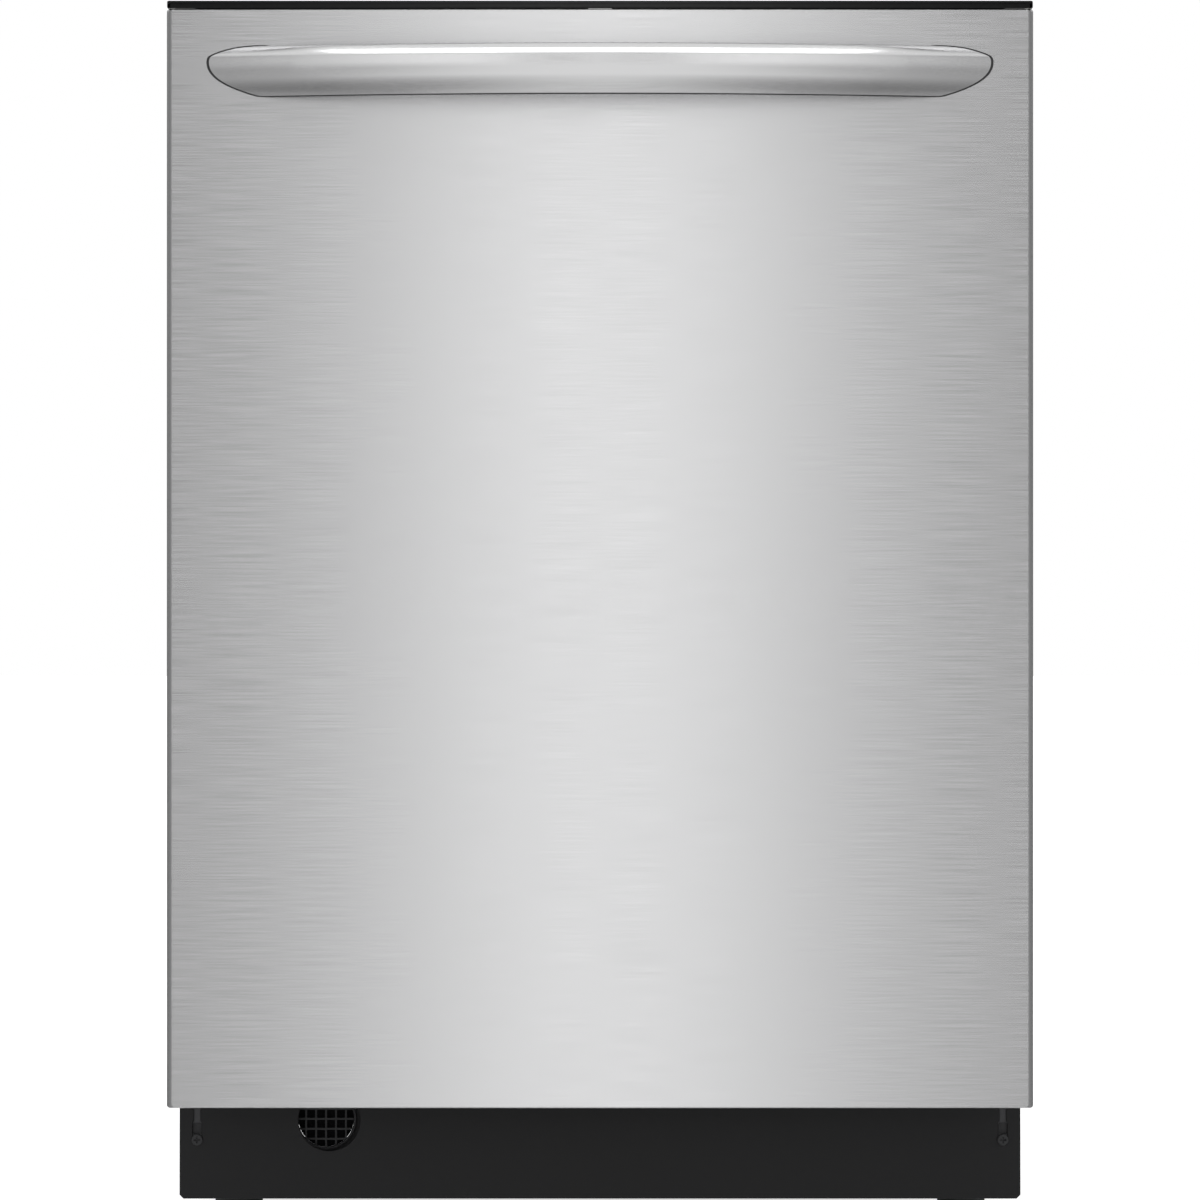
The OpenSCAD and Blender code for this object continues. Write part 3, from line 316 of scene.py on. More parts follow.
# %% [markdown]
# The steel comes in six looks. The door, the handle and the tub are brushed along their
# length, so the noise is some eighty times finer up the door than along it. The brackets
# are galvanised with their cloudy crystals, the springs are bright wire, and the heater's
# sheath is tinted by its own heat.

# %% Mix the steels
ALONG_X = (0.012, 1.0, 1.0)

brushed_door = finish_of("brushed_door_steel", "door_stainless", (0.62, 0.62, 0.625), 0.24,
                         metallic=1.0, stretch=ALONG_X, scale=1500, tint=0.04,
                         rough_spread=0.03, bump=0.10, depth=0.00003, anisotropic=1.0,
                         quarter=0.25)
brushed_bar = finish_of("satin_bar_steel", "handle_steel", (0.80, 0.80, 0.805), 0.18,
                        metallic=1.0, stretch=ALONG_X, scale=1500, tint=0.02,
                        rough_spread=0.04, bump=0.05, depth=0.00002, anisotropic=0.85)
tub_steel = finish_of("satin_tub_steel", "tub_stainless", (0.60, 0.60, 0.605), 0.27,
                      metallic=1.0, stretch=ALONG_X, scale=1100, tint=0.03,
                      rough_spread=0.05, bump=0.06, depth=0.00002)
galvanised = finish_of("galvanised_sheet", "galvanised", (0.55, 0.56, 0.575), 0.38,
                       metallic=1.0, scale=160, tint=0.12, rough_spread=0.10, bump=0.08,
                       depth=0.00003, blotch=0.06)
finish_of("bright_spring_wire", "spring_steel", (0.45, 0.45, 0.46), 0.28,
          metallic=1.0, scale=900, tint=0.05, bump=0.03)
heater_steel = finish_of("heat_tinted_sheath", "heater", (0.30, 0.27, 0.24), 0.36,
                         metallic=1.0, scale=120, tint=0.14, rough_spread=0.1, blotch=0.2)
print("six steels mixed")

# %% [markdown]
# Behind the door most pieces are moulded plastic, vinyl-dipped wire, rubber, felt or
# painted sheet. They differ in colour, gloss and grain size, and the felts get a little
# sheen, which is the light that stray fibres catch along an edge.

# %% Mix the plastics, paints, rubber and felt
console_black = finish_of("console_black", "console_black", (0.004, 0.004, 0.0045), 0.12,
                          scale=1400, tint=0.10, rough_spread=0.03, bump=0.03,
                          depth=0.00001, specular=0.25)
button_black = finish_of("button_black", "button_black", (0.035, 0.035, 0.037), 0.42,
                         scale=1800, tint=0.10, bump=0.12, depth=0.00002)
black_paint = finish_of("satin_black_paint", "black_paint", (0.006, 0.006, 0.0068), 0.42,
                        scale=700, tint=0.10, bump=0.12, depth=0.00003, specular=0.30)
black_plastic = finish_of("black_moulding", "black_plastic", (0.02, 0.02, 0.022), 0.5,
                          scale=900, tint=0.1, bump=0.15, depth=0.00003)
foot_plastic = finish_of("foot_nylon", "foot_plastic", (0.028, 0.028, 0.03), 0.5,
                         scale=800, tint=0.1, bump=0.15, depth=0.00003)
gasket_rubber = finish_of("gasket_rubber", "gasket_rubber", (0.025, 0.025, 0.026), 0.6,
                          scale=500, tint=0.12, bump=0.2, depth=0.00004)
sump_plastic = finish_of("sump_moulding", "sump_plastic", (0.075, 0.077, 0.082), 0.48,
                         scale=600, tint=0.08, bump=0.12, depth=0.00004)
pump_paint = finish_of("pump_case_paint", "pump_case", (0.10, 0.10, 0.11), 0.45,
                       scale=500, tint=0.1, bump=0.15, depth=0.00004)
grey_plastic = finish_of("grey_moulding", "grey_plastic", (0.33, 0.34, 0.355), 0.42,
                         scale=700, tint=0.04, bump=0.1, depth=0.00003)
dispenser_grey = finish_of("dispenser_moulding", "dispenser_grey", (0.13, 0.13, 0.14), 0.38,
                           scale=900, tint=0.06, bump=0.1, depth=0.00003)
cap_blue = finish_of("rinse_cap_blue", "cap_blue", (0.03, 0.10, 0.26), 0.25, coat=0.3,
                     scale=500, tint=0.05, bump=0.05)
white_plastic = finish_of("white_nylon", "white_plastic", (0.72, 0.72, 0.70), 0.42,
                          scale=600, tint=0.03, bump=0.08, depth=0.00003)
rack_vinyl = finish_of("rack_vinyl", "rack_vinyl", (0.40, 0.43, 0.48), 0.30, coat=0.15,
                       scale=350, tint=0.04, bump=0.12, depth=0.00006)
board_green = finish_of("circuit_board_green", "circuit_board", (0.02, 0.12, 0.05), 0.35,
                        scale=900, tint=0.25, bump=0.1, depth=0.00003)
blanket_felt = finish_of("blanket_felt", "blanket", (0.66, 0.66, 0.64), 0.85, sheen=0.4,
                         scale=260, tint=0.10, bump=0.6, depth=0.0004, blotch=0.05)
door_felt = finish_of("door_pad_felt", "door_pad", (0.16, 0.15, 0.14), 0.9, sheen=0.3,
                      scale=260, tint=0.15, bump=0.6, depth=0.0003)

finish_by_slot = {m["slot"]: m for m in bpy.data.materials if "slot" in m}


def dress(piece, material):
    """Give a piece one material."""
    piece.data.materials.clear()
    piece.data.materials.append(material)
    return piece


for part in frame["record"]["subparts"]:
    solid = nodes[part["node"]]
    solid.data.materials.clear()
    solid.data.materials.append(finish_by_slot[part["material_slot"]])
print(len(finish_by_slot), "finishes ready for", len(nodes), "solids")

# %% [markdown]
# The new pieces are built from a handful of mesh tools. Depths are counted from the door's
# face, as in the part's source, so a piece and the solid behind it share their numbers.

# %% Mesh tools
def depth(mm):
    """The frame's y for a depth in millimetres behind the door's face."""
    return door_face + mm * MM


def spot(x, v, z):
    """A point in metres from millimetres: across, behind the door's face, and up."""
    return Vector((x * MM, depth(v), z * MM))


def box_mm(name):
    """A solid's two corners in mm: across, behind the door's face, and up."""
    return [(p.x / MM, (p.y - door_face) / MM, p.z / MM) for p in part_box(name)]


def weigh_normals(piece):
    """Let the large faces set the shading, so that flat ones stay flat between round edges."""
    weigh = piece.modifiers.new("weigh", "WEIGHTED_NORMAL")
    weigh.keep_sharp = True
    graph = bpy.context.evaluated_depsgraph_get()
    baked = bpy.data.meshes.new_from_object(piece.evaluated_get(graph),
                                            preserve_all_data_layers=True, depsgraph=graph)
    piece.modifiers.clear()
    plain = piece.data
    baked.name = plain.name
    piece.data = baked
    bpy.data.meshes.remove(plain)


def finish_mesh(bm, name, material, body, stands_for=(), smooth=40.0):
    """Close a bmesh into a piece: shading, finish, body and the solids it stands for."""
    bmesh.ops.recalc_face_normals(bm, faces=bm.faces)
    for face in bm.faces:
        face.smooth = True
    limit = math.radians(smooth)
    for edge in bm.edges:
        edge.smooth = len(edge.link_faces) == 2 and edge.calc_face_angle(0.0) < limit
    mesh = bpy.data.meshes.new(name)
    bm.to_mesh(mesh)
    bm.free()
    piece = bpy.data.objects.new(name, mesh)
    bpy.context.scene.collection.objects.link(piece)
    weigh_normals(piece)
    dress(piece, material)
    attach(piece, body)
    if stands_for:
        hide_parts(*stands_for)
    return piece


def add_box(bm, one, two, bevel, steps=2):
    """A box between opposite corners (across, depth, up) in mm, with bevelled edges."""
    one, two = spot(*one), spot(*two)
    made = bmesh.ops.create_cube(bm, size=1.0)
    for vert in made["verts"]:
        vert.co = Vector((min(one[k], two[k]) + (vert.co[k] + 0.5) * abs(two[k] - one[k])
                          for k in range(3)))
    # Each edge once, in a steady order, so that every run gives the same mesh
    edges = list(dict.fromkeys(edge for vert in made["verts"] for edge in vert.link_edges))
    bmesh.ops.bevel(bm, geom=edges, offset=bevel * MM, segments=steps, affect="EDGES",
                    clamp_overlap=True)


def add_loft(bm, rings, closed=True, cap=True, loop=False):
    """Join rings of points in turn with quads, and cap the two ends."""
    made = [[bm.verts.new(point) for point in ring] for ring in rings]
    pairs = list(zip(made, made[1:])) + ([(made[-1], made[0])] if loop else [])
    for one, two in pairs:
        count = len(one)
        for k in range(count if closed else count - 1):
            after = (k + 1) % count
            bm.faces.new((one[k], one[after], two[after], two[k]))
    if cap and closed and not loop:
        bm.faces.new(reversed(made[0]))
        bm.faces.new(made[-1])
    return made


def circle_points(centre, radius, across, up, count):
    """Points on a circle spanned by two directions."""
    return [centre + across * (radius * math.cos(turn)) + up * (radius * math.sin(turn))
            for turn in (2 * math.pi * k / count for k in range(count))]


def add_tube(bm, points, radius, count=10, loop=False):
    """A round wire along a line of points, mitred where it bends, with its radius in mm."""
    points = [Vector(point) for point in points]
    total = len(points)
    rings = []
    side = None
    for k, point in enumerate(points):
        before = points[k - 1] if (k or loop) else None
        after = points[(k + 1) % total] if (k < total - 1 or loop) else None
        into = (point - before).normalized() if before is not None else None
        out = (after - point).normalized() if after is not None else None
        along = ((into or out) + (out or into)).normalized()
        stretch = 1.0
        if into is not None and out is not None:
            stretch = 1.0 / max(0.5, along.dot(into))
        if side is None:
            guess = Vector((0, 0, 1)) if abs(along.z) < 0.9 else Vector((1, 0, 0))
            side = along.cross(guess).normalized()
        side = (side - along * side.dot(along)).normalized()
        rings.append(circle_points(point, radius * MM * stretch, side, along.cross(side), count))
    add_loft(bm, rings, cap=not loop, loop=loop)


def add_turned(bm, centre, axis, profile, count=40, loop=False):
    """A turned shape: profile lists (distance along the axis, radius) in mm, and may loop."""
    centre, axis = Vector(centre), Vector(axis).normalized()
    guess = Vector((0, 0, 1)) if abs(axis.z) < 0.9 else Vector((1, 0, 0))
    across = axis.cross(guess).normalized()
    up = axis.cross(across)
    rings = [circle_points(centre + axis * (along * MM), max(radius, 0.01) * MM, across, up, count)
             for along, radius in profile]
    add_loft(bm, rings, loop=loop)


def add_turned_ring(bm, centre, axis, profile, count=48):
    """A turned ring with a bore, whose profile is a closed loop."""
    add_turned(bm, centre, axis, profile, count, loop=True)


def arc(centre, radius, start, stop, steps):
    """Flat points on an arc, with its angles in degrees."""
    return [(centre[0] + radius * math.cos(math.radians(turn)),
             centre[1] + radius * math.sin(math.radians(turn)))
            for turn in (start + (stop - start) * k / steps for k in range(steps + 1))]


def around(count, radius, first=0.0):
    """Places evenly spaced on a circle, the first at an angle in radians."""
    turns = [2 * math.pi * k / count + first for k in range(count)]
    return [(radius * math.cos(turn), radius * math.sin(turn)) for turn in turns]


def rounded_outline(half_w, half_h, radius, steps=6):
    """A flat rectangle with round corners, centred on zero."""
    radius = min(radius, half_w, half_h)
    corners = ((1, 1, 0), (-1, 1, 90), (-1, -1, 180), (1, -1, 270))
    points = []
    for sx, sy, start in corners:
        centre = (sx * (half_w - radius), sy * (half_h - radius))
        points += arc(centre, radius, start, start + 90, steps)
    return points


print("mesh tools ready")

# %% [markdown]
# Most flat parts of a machine are plates with holes: the console, the toe kick, the filter.
# One tool makes them all. It rounds every edge a little, since a real edge always catches
# a thin line of light, and a sharp one looks drawn. Booleans could cut the holes, but they
# leave long thin triangles that shade badly once the edges are rounded.

# %% A plate with holes
def slot_shape(across, up, half_w, half_h, radius, steps=6):
    """A rounded rectangle that can be drawn a little larger or smaller."""

    def ring(grow=0.0):
        outline = rounded_outline(half_w + grow, half_h + grow, max(radius + grow, 0.05), steps)
        return [(across + a, up + b) for a, b in outline]

    return ring


def round_shape(across, up, radius, steps=6):
    """A circle that can be drawn a little larger or smaller."""
    return slot_shape(across, up, radius, radius, radius, steps)


def facing(v, sign=1):
    """Places a plate upright at a depth; its thickness runs back, or forward with -1."""
    return lambda a, b, up: spot(a, v + sign * up, b)


def lying(z, sign=1):
    """Places a plate flat at a height; its thickness runs up, or down with -1."""
    return lambda a, b, up: spot(a, b, z + sign * up)


def inside(point, loop):
    """Whether a point lies inside a closed loop of points."""
    odd = False
    for p, q in zip(loop, loop[1:] + loop[:1]):
        if (p[1] > point[1]) != (q[1] > point[1]):
            if point[0] < p[0] + (q[0] - p[0]) * (point[1] - p[1]) / (q[1] - p[1]):
                odd = not odd
    return odd


def lid_triangles(loops):
    """Corner numbers of the triangles that fill the first loop but not the others."""
    points, sides, owner = [], [], []
    for number, loop in enumerate(loops):
        first = len(points)
        points += loop
        owner += [number] * len(loop)
        sides += [(first + k, first + (k + 1) % len(loop)) for k in range(len(loop))]
    found = delaunay_2d_cdt([Vector(point) for point in points], sides, [], 0, 1e-7)
    triangles = []
    for face in found[2]:
        corners = [found[3][k][0] for k in face]
        owners = {owner[k] for k in corners}
        if len(owners) == 1:
            number = owners.pop()
            middle = [sum(points[k][axis] for k in corners) / 3 for axis in (0, 1)]
            if inside(middle, loops[number]) == (number > 0):
                continue
        triangles.append(corners)
    return triangles


def add_plate(bm, outer, holes, place, thick, bevel, steps=3):
    """A plate from 0 to thick: outer and holes are shapes, place(a, b, h) sets a point."""
    turns = [math.radians(90.0 * k / steps) for k in range(steps + 1)]
    levels = [(-bevel * (1 - math.sin(turn)), bevel * (1 - math.cos(turn))) for turn in turns]
    levels += [(grow, thick - up) for grow, up in reversed(levels)]
    lids, loops = ([], []), []
    for shape, sign in [(outer, 1)] + [(hole, -1) for hole in holes]:
        rings = [[Vector(place(a, b, up)) for a, b in shape(grow * sign)] for grow, up in levels]
        made = add_loft(bm, rings, cap=False)
        loops.append([tuple(point) for point in shape(levels[0][0] * sign)])
        lids[0].extend(made[0])
        lids[1].extend(made[-1])
    for corners in lid_triangles(loops):
        for lid in lids:
            bm.faces.new([lid[k] for k in corners])
    bmesh.ops.remove_doubles(bm, verts=lids[0] + lids[1], dist=0.0001 * MM)


print("plate tool ready")

# %% [markdown]
# The door skin is one sheet folded back at its sides and top. The solid has square folds,
# so this piece takes its place with round ones: the small radius at each edge turns the
# reflection quickly through the dark studio, which draws the fine dark line seen there.

# %% Fold the door skin
SHEET = 1.2
PANEL_W, PANEL_H = panel_high.x - panel_low.x, panel_high.z - panel_low.z
PANEL_DEPTH = (panel_high.y - panel_low.y) / MM
LOW_FOLD = 8.0


def build_door_skin():
    bm = bmesh.new()
    half_w, half_h = PANEL_W / 2, PANEL_H / 2
    mid_z = (panel_low.z + panel_high.z) / 2
    corner = 2.2 * MM
    sheet = SHEET * MM
    # The side bends are wide and soft, the top and bottom ones tight. Each starts at an
    # angle, because a tangent bend would mirror the bright studio beside the edge
    side_bend, end_bend, first = 3.6 * MM, 1.0 * MM, math.radians(18)
    bend_depth = side_bend / MM / (1 - math.sin(first))
    rings = []

    def ring(inset, v, share=0.0):
        outline = rounded_outline(half_w - inset - side_bend * share,
                                  half_h - inset - end_bend * share, corner - inset * 0.9, 5)
        return [Vector((a, depth(v), mid_z + b)) for a, b in outline]

    rings.append(ring(0, 0, 1.6))
    rings.append(ring(0, 0, 1.01))
    for k in range(9):
        turn = first + (math.pi / 2 - first) * k / 8
        rings.append(ring(0, bend_depth * (math.cos(first) - math.cos(turn)) + 0.002,
                          (1 - math.sin(turn)) / (1 - math.sin(first))))
    rings.append(ring(0, LOW_FOLD))
    rings.append(ring(sheet, LOW_FOLD))
    rings.append(ring(sheet, SHEET + 1.8))
    rings.append(ring(sheet + 1.8 * MM, SHEET))
    add_loft(bm, rings)

    outline = rounded_outline(half_w, half_h, corner, 5)
    inner = rounded_outline(half_w - sheet, half_h - sheet, corner - sheet, 5)
    count = len(outline)
    # The fold carries on to full depth everywhere but along the bottom edge
    order = [k for k in range(count) if outline[k][1] > -half_h + corner * 0.999]
    order.sort(key=lambda k: math.atan2(outline[k][0], outline[k][1] + half_h * 0.999))
    open_fold = [outline[k] for k in order] + [inner[k] for k in reversed(order)]
    add_loft(bm, [[Vector((a, depth(v), mid_z + b)) for a, b in open_fold]
                  for v in (LOW_FOLD, PANEL_DEPTH)])
    for side in (-1, 1):
        add_box(bm, (side * (half_w / MM - 16), PANEL_DEPTH - SHEET, 132),
                (side * (half_w / MM - 0.6), PANEL_DEPTH, panel_high.z / MM - 1), 0.4)
    return finish_mesh(bm, "door_skin", brushed_door, "door", ["door_outer_panel"], smooth=50)


build_door_skin()
print("door skin folded")

# %% [markdown]
# The handle is a bowed bar whose ends run out flat against the door. Each line of its
# section is an arc about the same centre, cut where it meets the door, so the lines that
# lie deeper end sooner and the lower edge sweeps up into the tips, as on the real bar.
# Bending a straight bar would have given it blunt, square ends instead.

# %% Sweep the handle
handle_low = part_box("handle")[0]
BOW = 780.0
BAR_FACE = 27.8
REACH = (door_face - handle_low.y) / MM
BOW_CENTRE = BOW - REACH
CREASE_Z = handle_low.z / MM + BAR_FACE


def handle_section():
    """Section points (inset from the crease, height above it), clockwise, in mm."""
    points = [(0.55, 0.12), (0.32, -0.5), (0.12, -1.6), (0.0, -3.2)]
    for k in range(1, 13):
        down = k / 12
        points.append((11.3 * down ** 2.35, -3.2 - 24.1 * down))
    points += [(12.0, -27.7), (13.0, -27.8), (14.2, -27.4), (15.2, -26.4), (15.8, -25), (16, -23)]
    points += [(16, -16), (16, -8), (16, -1), (16, 4.4), (15.6, 6.2), (14.7, 7.3), (13.2, 7.75)]
    points += [(11.3, 7.6), (9.4, 7.15), (7.6, 6.5), (5.9, 5.6), (4.3, 4.4), (2.9, 3.1), (1.7, 1.75)]
    points += [(0.95, 0.75)]
    return points


def sweep_bow(bm, section, steps=120):
    """Sweep a section along the bow; each of its lines ends where it meets the door."""
    rings = []
    for k in range(steps + 1):
        along = 2.0 * k / steps - 1.0
        # Closer rings towards the tips, where the lines turn into the door
        along = math.copysign(1 - (1 - abs(along)) ** 1.35, along)
        ring = []
        for inset, up in section:
            radius = BOW - inset
            turn = along * math.acos(BOW_CENTRE / radius)
            ring.append(Vector((radius * math.sin(turn) * MM,
                                depth(BOW_CENTRE - radius * math.cos(turn)),
                                (CREASE_Z + up) * MM)))
        rings.append(ring)
    add_loft(bm, rings)


def build_handle():
    bm = bmesh.new()
    sweep_bow(bm, handle_section())
    return finish_mesh(bm, "bowed_bar", brushed_bar, "door", ["handle"], smooth=30)


def build_handle_shade_strip():
    """A black strip closing the hollow bar from below, black so as to paint the thin line of shade along the
    bar's lower edge.
    """
    bm = bmesh.new()
    sweep_bow(bm, [(12.3, -27.4), (12.2, -28.1), (12.5, -28.25), (15.2, -28.25), (15.5, -28), (15.5, -26)])
    return finish_mesh(bm, "handle_shade_strip", black_plastic, "door", smooth=40)


def build_handle_shade_pads():
    """Thin black pads under the bar's two tips, standing out a hair around them as a painted contact shadow
    that outlines the tips.
    """
    bm = bmesh.new()
    foot = []
    for inset, up in handle_section():
        radius = BOW - inset
        foot.append(Vector((math.sqrt(radius ** 2 - BOW_CENTRE ** 2), CREASE_Z + up)))
    for side in (-1, 1):
        rings = []
        for v, grow in ((-0.5, 0.1), (-0.35, 0.4), (-0.02, 0.45)):
            ring = []
            for k, point in enumerate(foot):
                along = (foot[(k + 1) % len(foot)] - foot[k - 1]).normalized()
                edge = point + Vector((-along.y, along.x)) * grow
                ring.append(spot(side * edge.x, v, edge.y))
            rings.append(ring)
        add_loft(bm, rings)
    return finish_mesh(bm, "handle_shade_pads", gasket_rubber, "door", smooth=40)


build_handle()
build_handle_shade_strip()
build_handle_shade_pads()
print("handle swept, reach", round(REACH, 1), "mm")

# %% [markdown]
# The console hides its buttons on the door's top edge, so from the front only its black
# nose shows, a few millimetres high. It is a plate with six openings and rounded edges,
# with a skirt that drops behind the steel's edge and a tail that meets the liner.

# %% Mould the console
console_low, console_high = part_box("control_console")
button_boxes = [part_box(f"button_{k}") for k in range(1, 7)]
BUTTON_V = 33.0


def build_console():
    bm = bmesh.new()
    half_w = (console_high.x - console_low.x) / 2 / MM
    front, back = 0.6, (console_high.y - door_face) / MM
    top = console_high.z / MM
    middle = (front + back) / 2
    outer = slot_shape(0, middle, half_w, (back - front) / 2, 2.4, 5)
    holes = [slot_shape((low.x + high.x) / 2 / MM, BUTTON_V, 13.35, 5.85, 1.6) for low, high in button_boxes]

    add_plate(bm, outer, holes, lying(top, -1), 3.0, 0.9)
    skirt = panel_high.z / MM + 0.3
    tail_w = box_mm("door_inner_liner")[1][0] - 8
    add_box(bm, (-(half_w - 0.1), 0.6, skirt), (half_w - 0.1, 3.0, top - 1.2), 0.7, 3)
    for side in (-1, 1):
        add_box(bm, (side * (half_w - 2.7), 0.6, skirt), (side * (half_w - 0.1), back, top - 1.2), 0.6)
        add_turned(bm, spot(side * 162.8, BUTTON_V, top - 2), (0, 0, -1),
                   [(0, 3.6), (2, 3.0), (14, 3.0), (15.4, 2.8)])
    for side in (-1, 1):
        add_box(bm, (side * 8.3, back - 2.5, console_low.z / MM), (side * tail_w, back, top - 1.2), 0.5)
    return finish_mesh(bm, "console_shell", console_black, "door", ["control_console"], smooth=50)


def build_button(k):
    """A key with a dished top, a flange under the plate and a stem to its switch."""
    low, high = button_boxes[k]
    mid_x = (low.x + high.x) / 2 / MM
    top = high.z / MM
    bm = bmesh.new()
    shape = slot_shape(mid_x, BUTTON_V, 13, 5.5, 1.4)
    levels = [(-2.6, -0.38), (-1.6, -0.28), (-1.0, -0.06), (-0.6, 0.0), (-0.25, -0.12), (0, -0.5), (0, -3.4)]
    rings = [[spot(a, b, top + up) for a, b in shape(grow)] for grow, up in levels]
    flange = slot_shape(mid_x, BUTTON_V, 14.5, 7, 1.6)
    for grow, up in ((0, -3.4), (0, -4.7), (-2, -4.8)):
        rings.append([spot(a, b, top + up) for a, b in flange(grow)])
    add_loft(bm, rings)
    stem_low = low.z / MM
    add_turned(bm, spot(mid_x, BUTTON_V, stem_low), (0, 0, 1),
               [(0, 1.6), (0.4, 2), (top - stem_low - 4.5, 2)], 20)
    name = f"button_{k + 1}"
    return finish_mesh(bm, f"push_{name}", button_black, name, [name], smooth=35)


build_console()
push_buttons = [build_button(k) for k in range(6)]
print("console and", len(push_buttons), "buttons moulded")

# %% [markdown]
# The toe kick is a painted plate on slotted holes, so that it can slide down to the floor.
# Its keyhole slots show the bracket behind, and the round hole on the left shows the
# vent's grille with the dark space behind it.

# %% Fold the toe kick
screw_low, screw_high = box_mm("toe_kick_screws")
SCREW_X = screw_high[0] - 4.0
SCREW_Z = (screw_low[2] + screw_high[2]) / 2
vent_low, vent_high = box_mm("vent_grille")
VENT_X, VENT_Z = (vent_low[0] + vent_high[0]) / 2, (vent_low[2] + vent_high[2]) / 2
VENT_R = (vent_high[2] - vent_low[2]) / 2


def keyhole(across, up):
    """A slot with a wide foot for the screw's head and a narrow neck above it."""

    def ring(grow=0.0):
        wide, neck = 3.25 + grow, 2.3 + grow
        foot = arc((0, 0.25), wide, 180, 360, 10)
        shoulder = 13 + grow
        top = arc((0, 35.7), neck, 0, 180, 8)
        points = foot + [(wide, shoulder - 0.8), (wide - 0.8, shoulder), (neck, shoulder + 0.8)]
        points += top + [(-neck, shoulder + 0.8), (-wide + 0.8, shoulder), (-wide, shoulder - 0.8)]
        return [(across + a, up + b) for a, b in points]

    return ring


def build_toe_kick():
    bm = bmesh.new()
    (_, front, low), (half_w, _, high) = box_mm("toe_kick")
    vent = round_shape(VENT_X + 2.7, VENT_Z, VENT_R, 16)

    def outer(grow=0.0):
        w = half_w + grow
        points = [(w, high + grow), (-w, high + grow), (-w, low + 2.8), (-w + 2.8, low - grow)]
        return points + [(w - 2.8, low - grow), (w, low + 2.8)]

    slots = [keyhole(-SCREW_X, SCREW_Z), keyhole(SCREW_X, SCREW_Z)]
    add_plate(bm, outer, [vent] + slots, facing(front), SHEET, 0.35)
    for side in (-1, 1):
        add_box(bm, (side * half_w, front + 0.7, low + 3), (side * (half_w - SHEET), front + 8, high), 0.3)
    return finish_mesh(bm, "kick_plate", black_paint, "toe_kick", ["toe_kick"], smooth=40)


build_toe_kick()
print("toe kick folded")

# %% [markdown]
# Behind the toe kick sit the vent's grille with a near-black disc behind it, two brackets whose
# steel is darkened as painted shade for their recess under the door, clip nuts, and black screws.
# The disc is painted shade for the space behind the grille, which would otherwise show the bright floor
# behind the machine.

# %% Fit the vent's grille
GRILLE_FRONT = 101.0


def build_grille():
    bm = bmesh.new()
    centre = spot(VENT_X, GRILLE_FRONT, VENT_Z)
    rim = [(0.5, -2.1), (0, -1.6), (0, -0.5), (0.5, 0), (2.9, 0), (3, -2.1)]
    add_turned_ring(bm, centre, (0, 1, 0), [(a, VENT_R + grow) for a, grow in rim])
    for k in range(-2, 3):
        offset = k * 7.09
        half = math.sqrt((VENT_R - 1.4) ** 2 - offset ** 2)
        x, z = VENT_X + offset, VENT_Z + offset
        add_box(bm, (x - 0.65, 101.3, VENT_Z - half), (x + 0.65, 103.6, VENT_Z + half), 0.3)
        add_box(bm, (VENT_X - half, 101.5, z - 0.65), (VENT_X + half, 103.8, z + 0.65), 0.3)
    return finish_mesh(bm, "grille", black_plastic, "cabinet", ["vent_grille"], smooth=50)


def build_vent_shade_disc():
    """A soft black disc pressed into the hole behind the grille: painted shade for the dark space behind it.
    """
    bm = bmesh.new()
    centre = spot(VENT_X, 104.1, VENT_Z)
    rise = [(0.0, 0.5), (0.0, 8), (0.1, 14), (0.25, 18), (0.6, 19.5), (1.4, 19.8), (2.4, 19.8),
            (3.0, 19.2), (3.3, 12), (3.4, 0.5)]
    add_turned(bm, centre, (0, 1, 0), rise)
    # Near black throughout: painted shade for the space behind the grille
    shade_disc = finish_of("vent_foam", "black_plastic", (0.006, 0.006, 0.0065), 0.95, scale=420,
                     tint=0.3, bump=0.9, depth=0.0006, sheen=0.05, specular=0.1)
    return finish_mesh(bm, "vent_painted_shade_disc", shade_disc, "cabinet")


build_grille()
build_vent_shade_disc()
print("grille and foam fitted")

# %% Fit the kick's brackets, clip nuts and screws
BRACKET_V = 91.5
RAIL_X = box_mm("access_panel")[1][0]


def build_kick_brackets():
    bm = bmesh.new()
    low = SCREW_Z - 7
    middle, half_h = (100 + low) / 2, (100 - low) / 2
    for side in (-1, 1):
        left, right = RAIL_X, SCREW_X + 8
        outer = slot_shape(side * (left + right) / 2, middle, (right - left) / 2, half_h, 2.0)
        hole = round_shape(side * SCREW_X, SCREW_Z, 2.0, 5)
        window = slot_shape(side * SCREW_X, SCREW_Z + 8, 3.2, 4, 1.2, 4)
        add_plate(bm, outer, [hole, window], facing(BRACKET_V), 2.0, 0.25)
        add_box(bm, (side * RAIL_X, BRACKET_V + 0.4, low + 0.4), (side * (RAIL_X + 2), 146, 100), 0.5)
    # The brackets' galvanised steel is darkened to near black as painted shade for their recess under the
    # door
    shaded_bracket_steel = finish_of("dull_bracket_sheet", "galvanised", (0.085, 0.085, 0.088), 0.55, metallic=1.0,
                     scale=160, tint=0.12, rough_spread=0.10, bump=0.08, depth=0.00003, blotch=0.06)
    return finish_mesh(bm, "kick_bracket_pair", shaded_bracket_steel, "cabinet", ["kick_brackets"], smooth=50)


def build_clip_nuts():
    """Black spring nuts behind the brackets, which the screws bite into."""
    bm = bmesh.new()
    for side in (-1, 1):
        shape = slot_shape(side * SCREW_X, SCREW_Z + 8, 5.4, 13.5, 1.5, 4)
        hole = round_shape(side * SCREW_X, SCREW_Z, 2.2, 4)
        add_plate(bm, shape, [hole], facing(93.7), 2.4, 0.4)
        add_turned_ring(bm, spot(side * SCREW_X, 96, SCREW_Z), (0, 1, 0),
                        [(0, 2.3), (0, 4.2), (2.6, 3.6), (2.6, 2.3)], 24)
    return finish_mesh(bm, "clip_nuts", black_plastic, "cabinet", smooth=50)


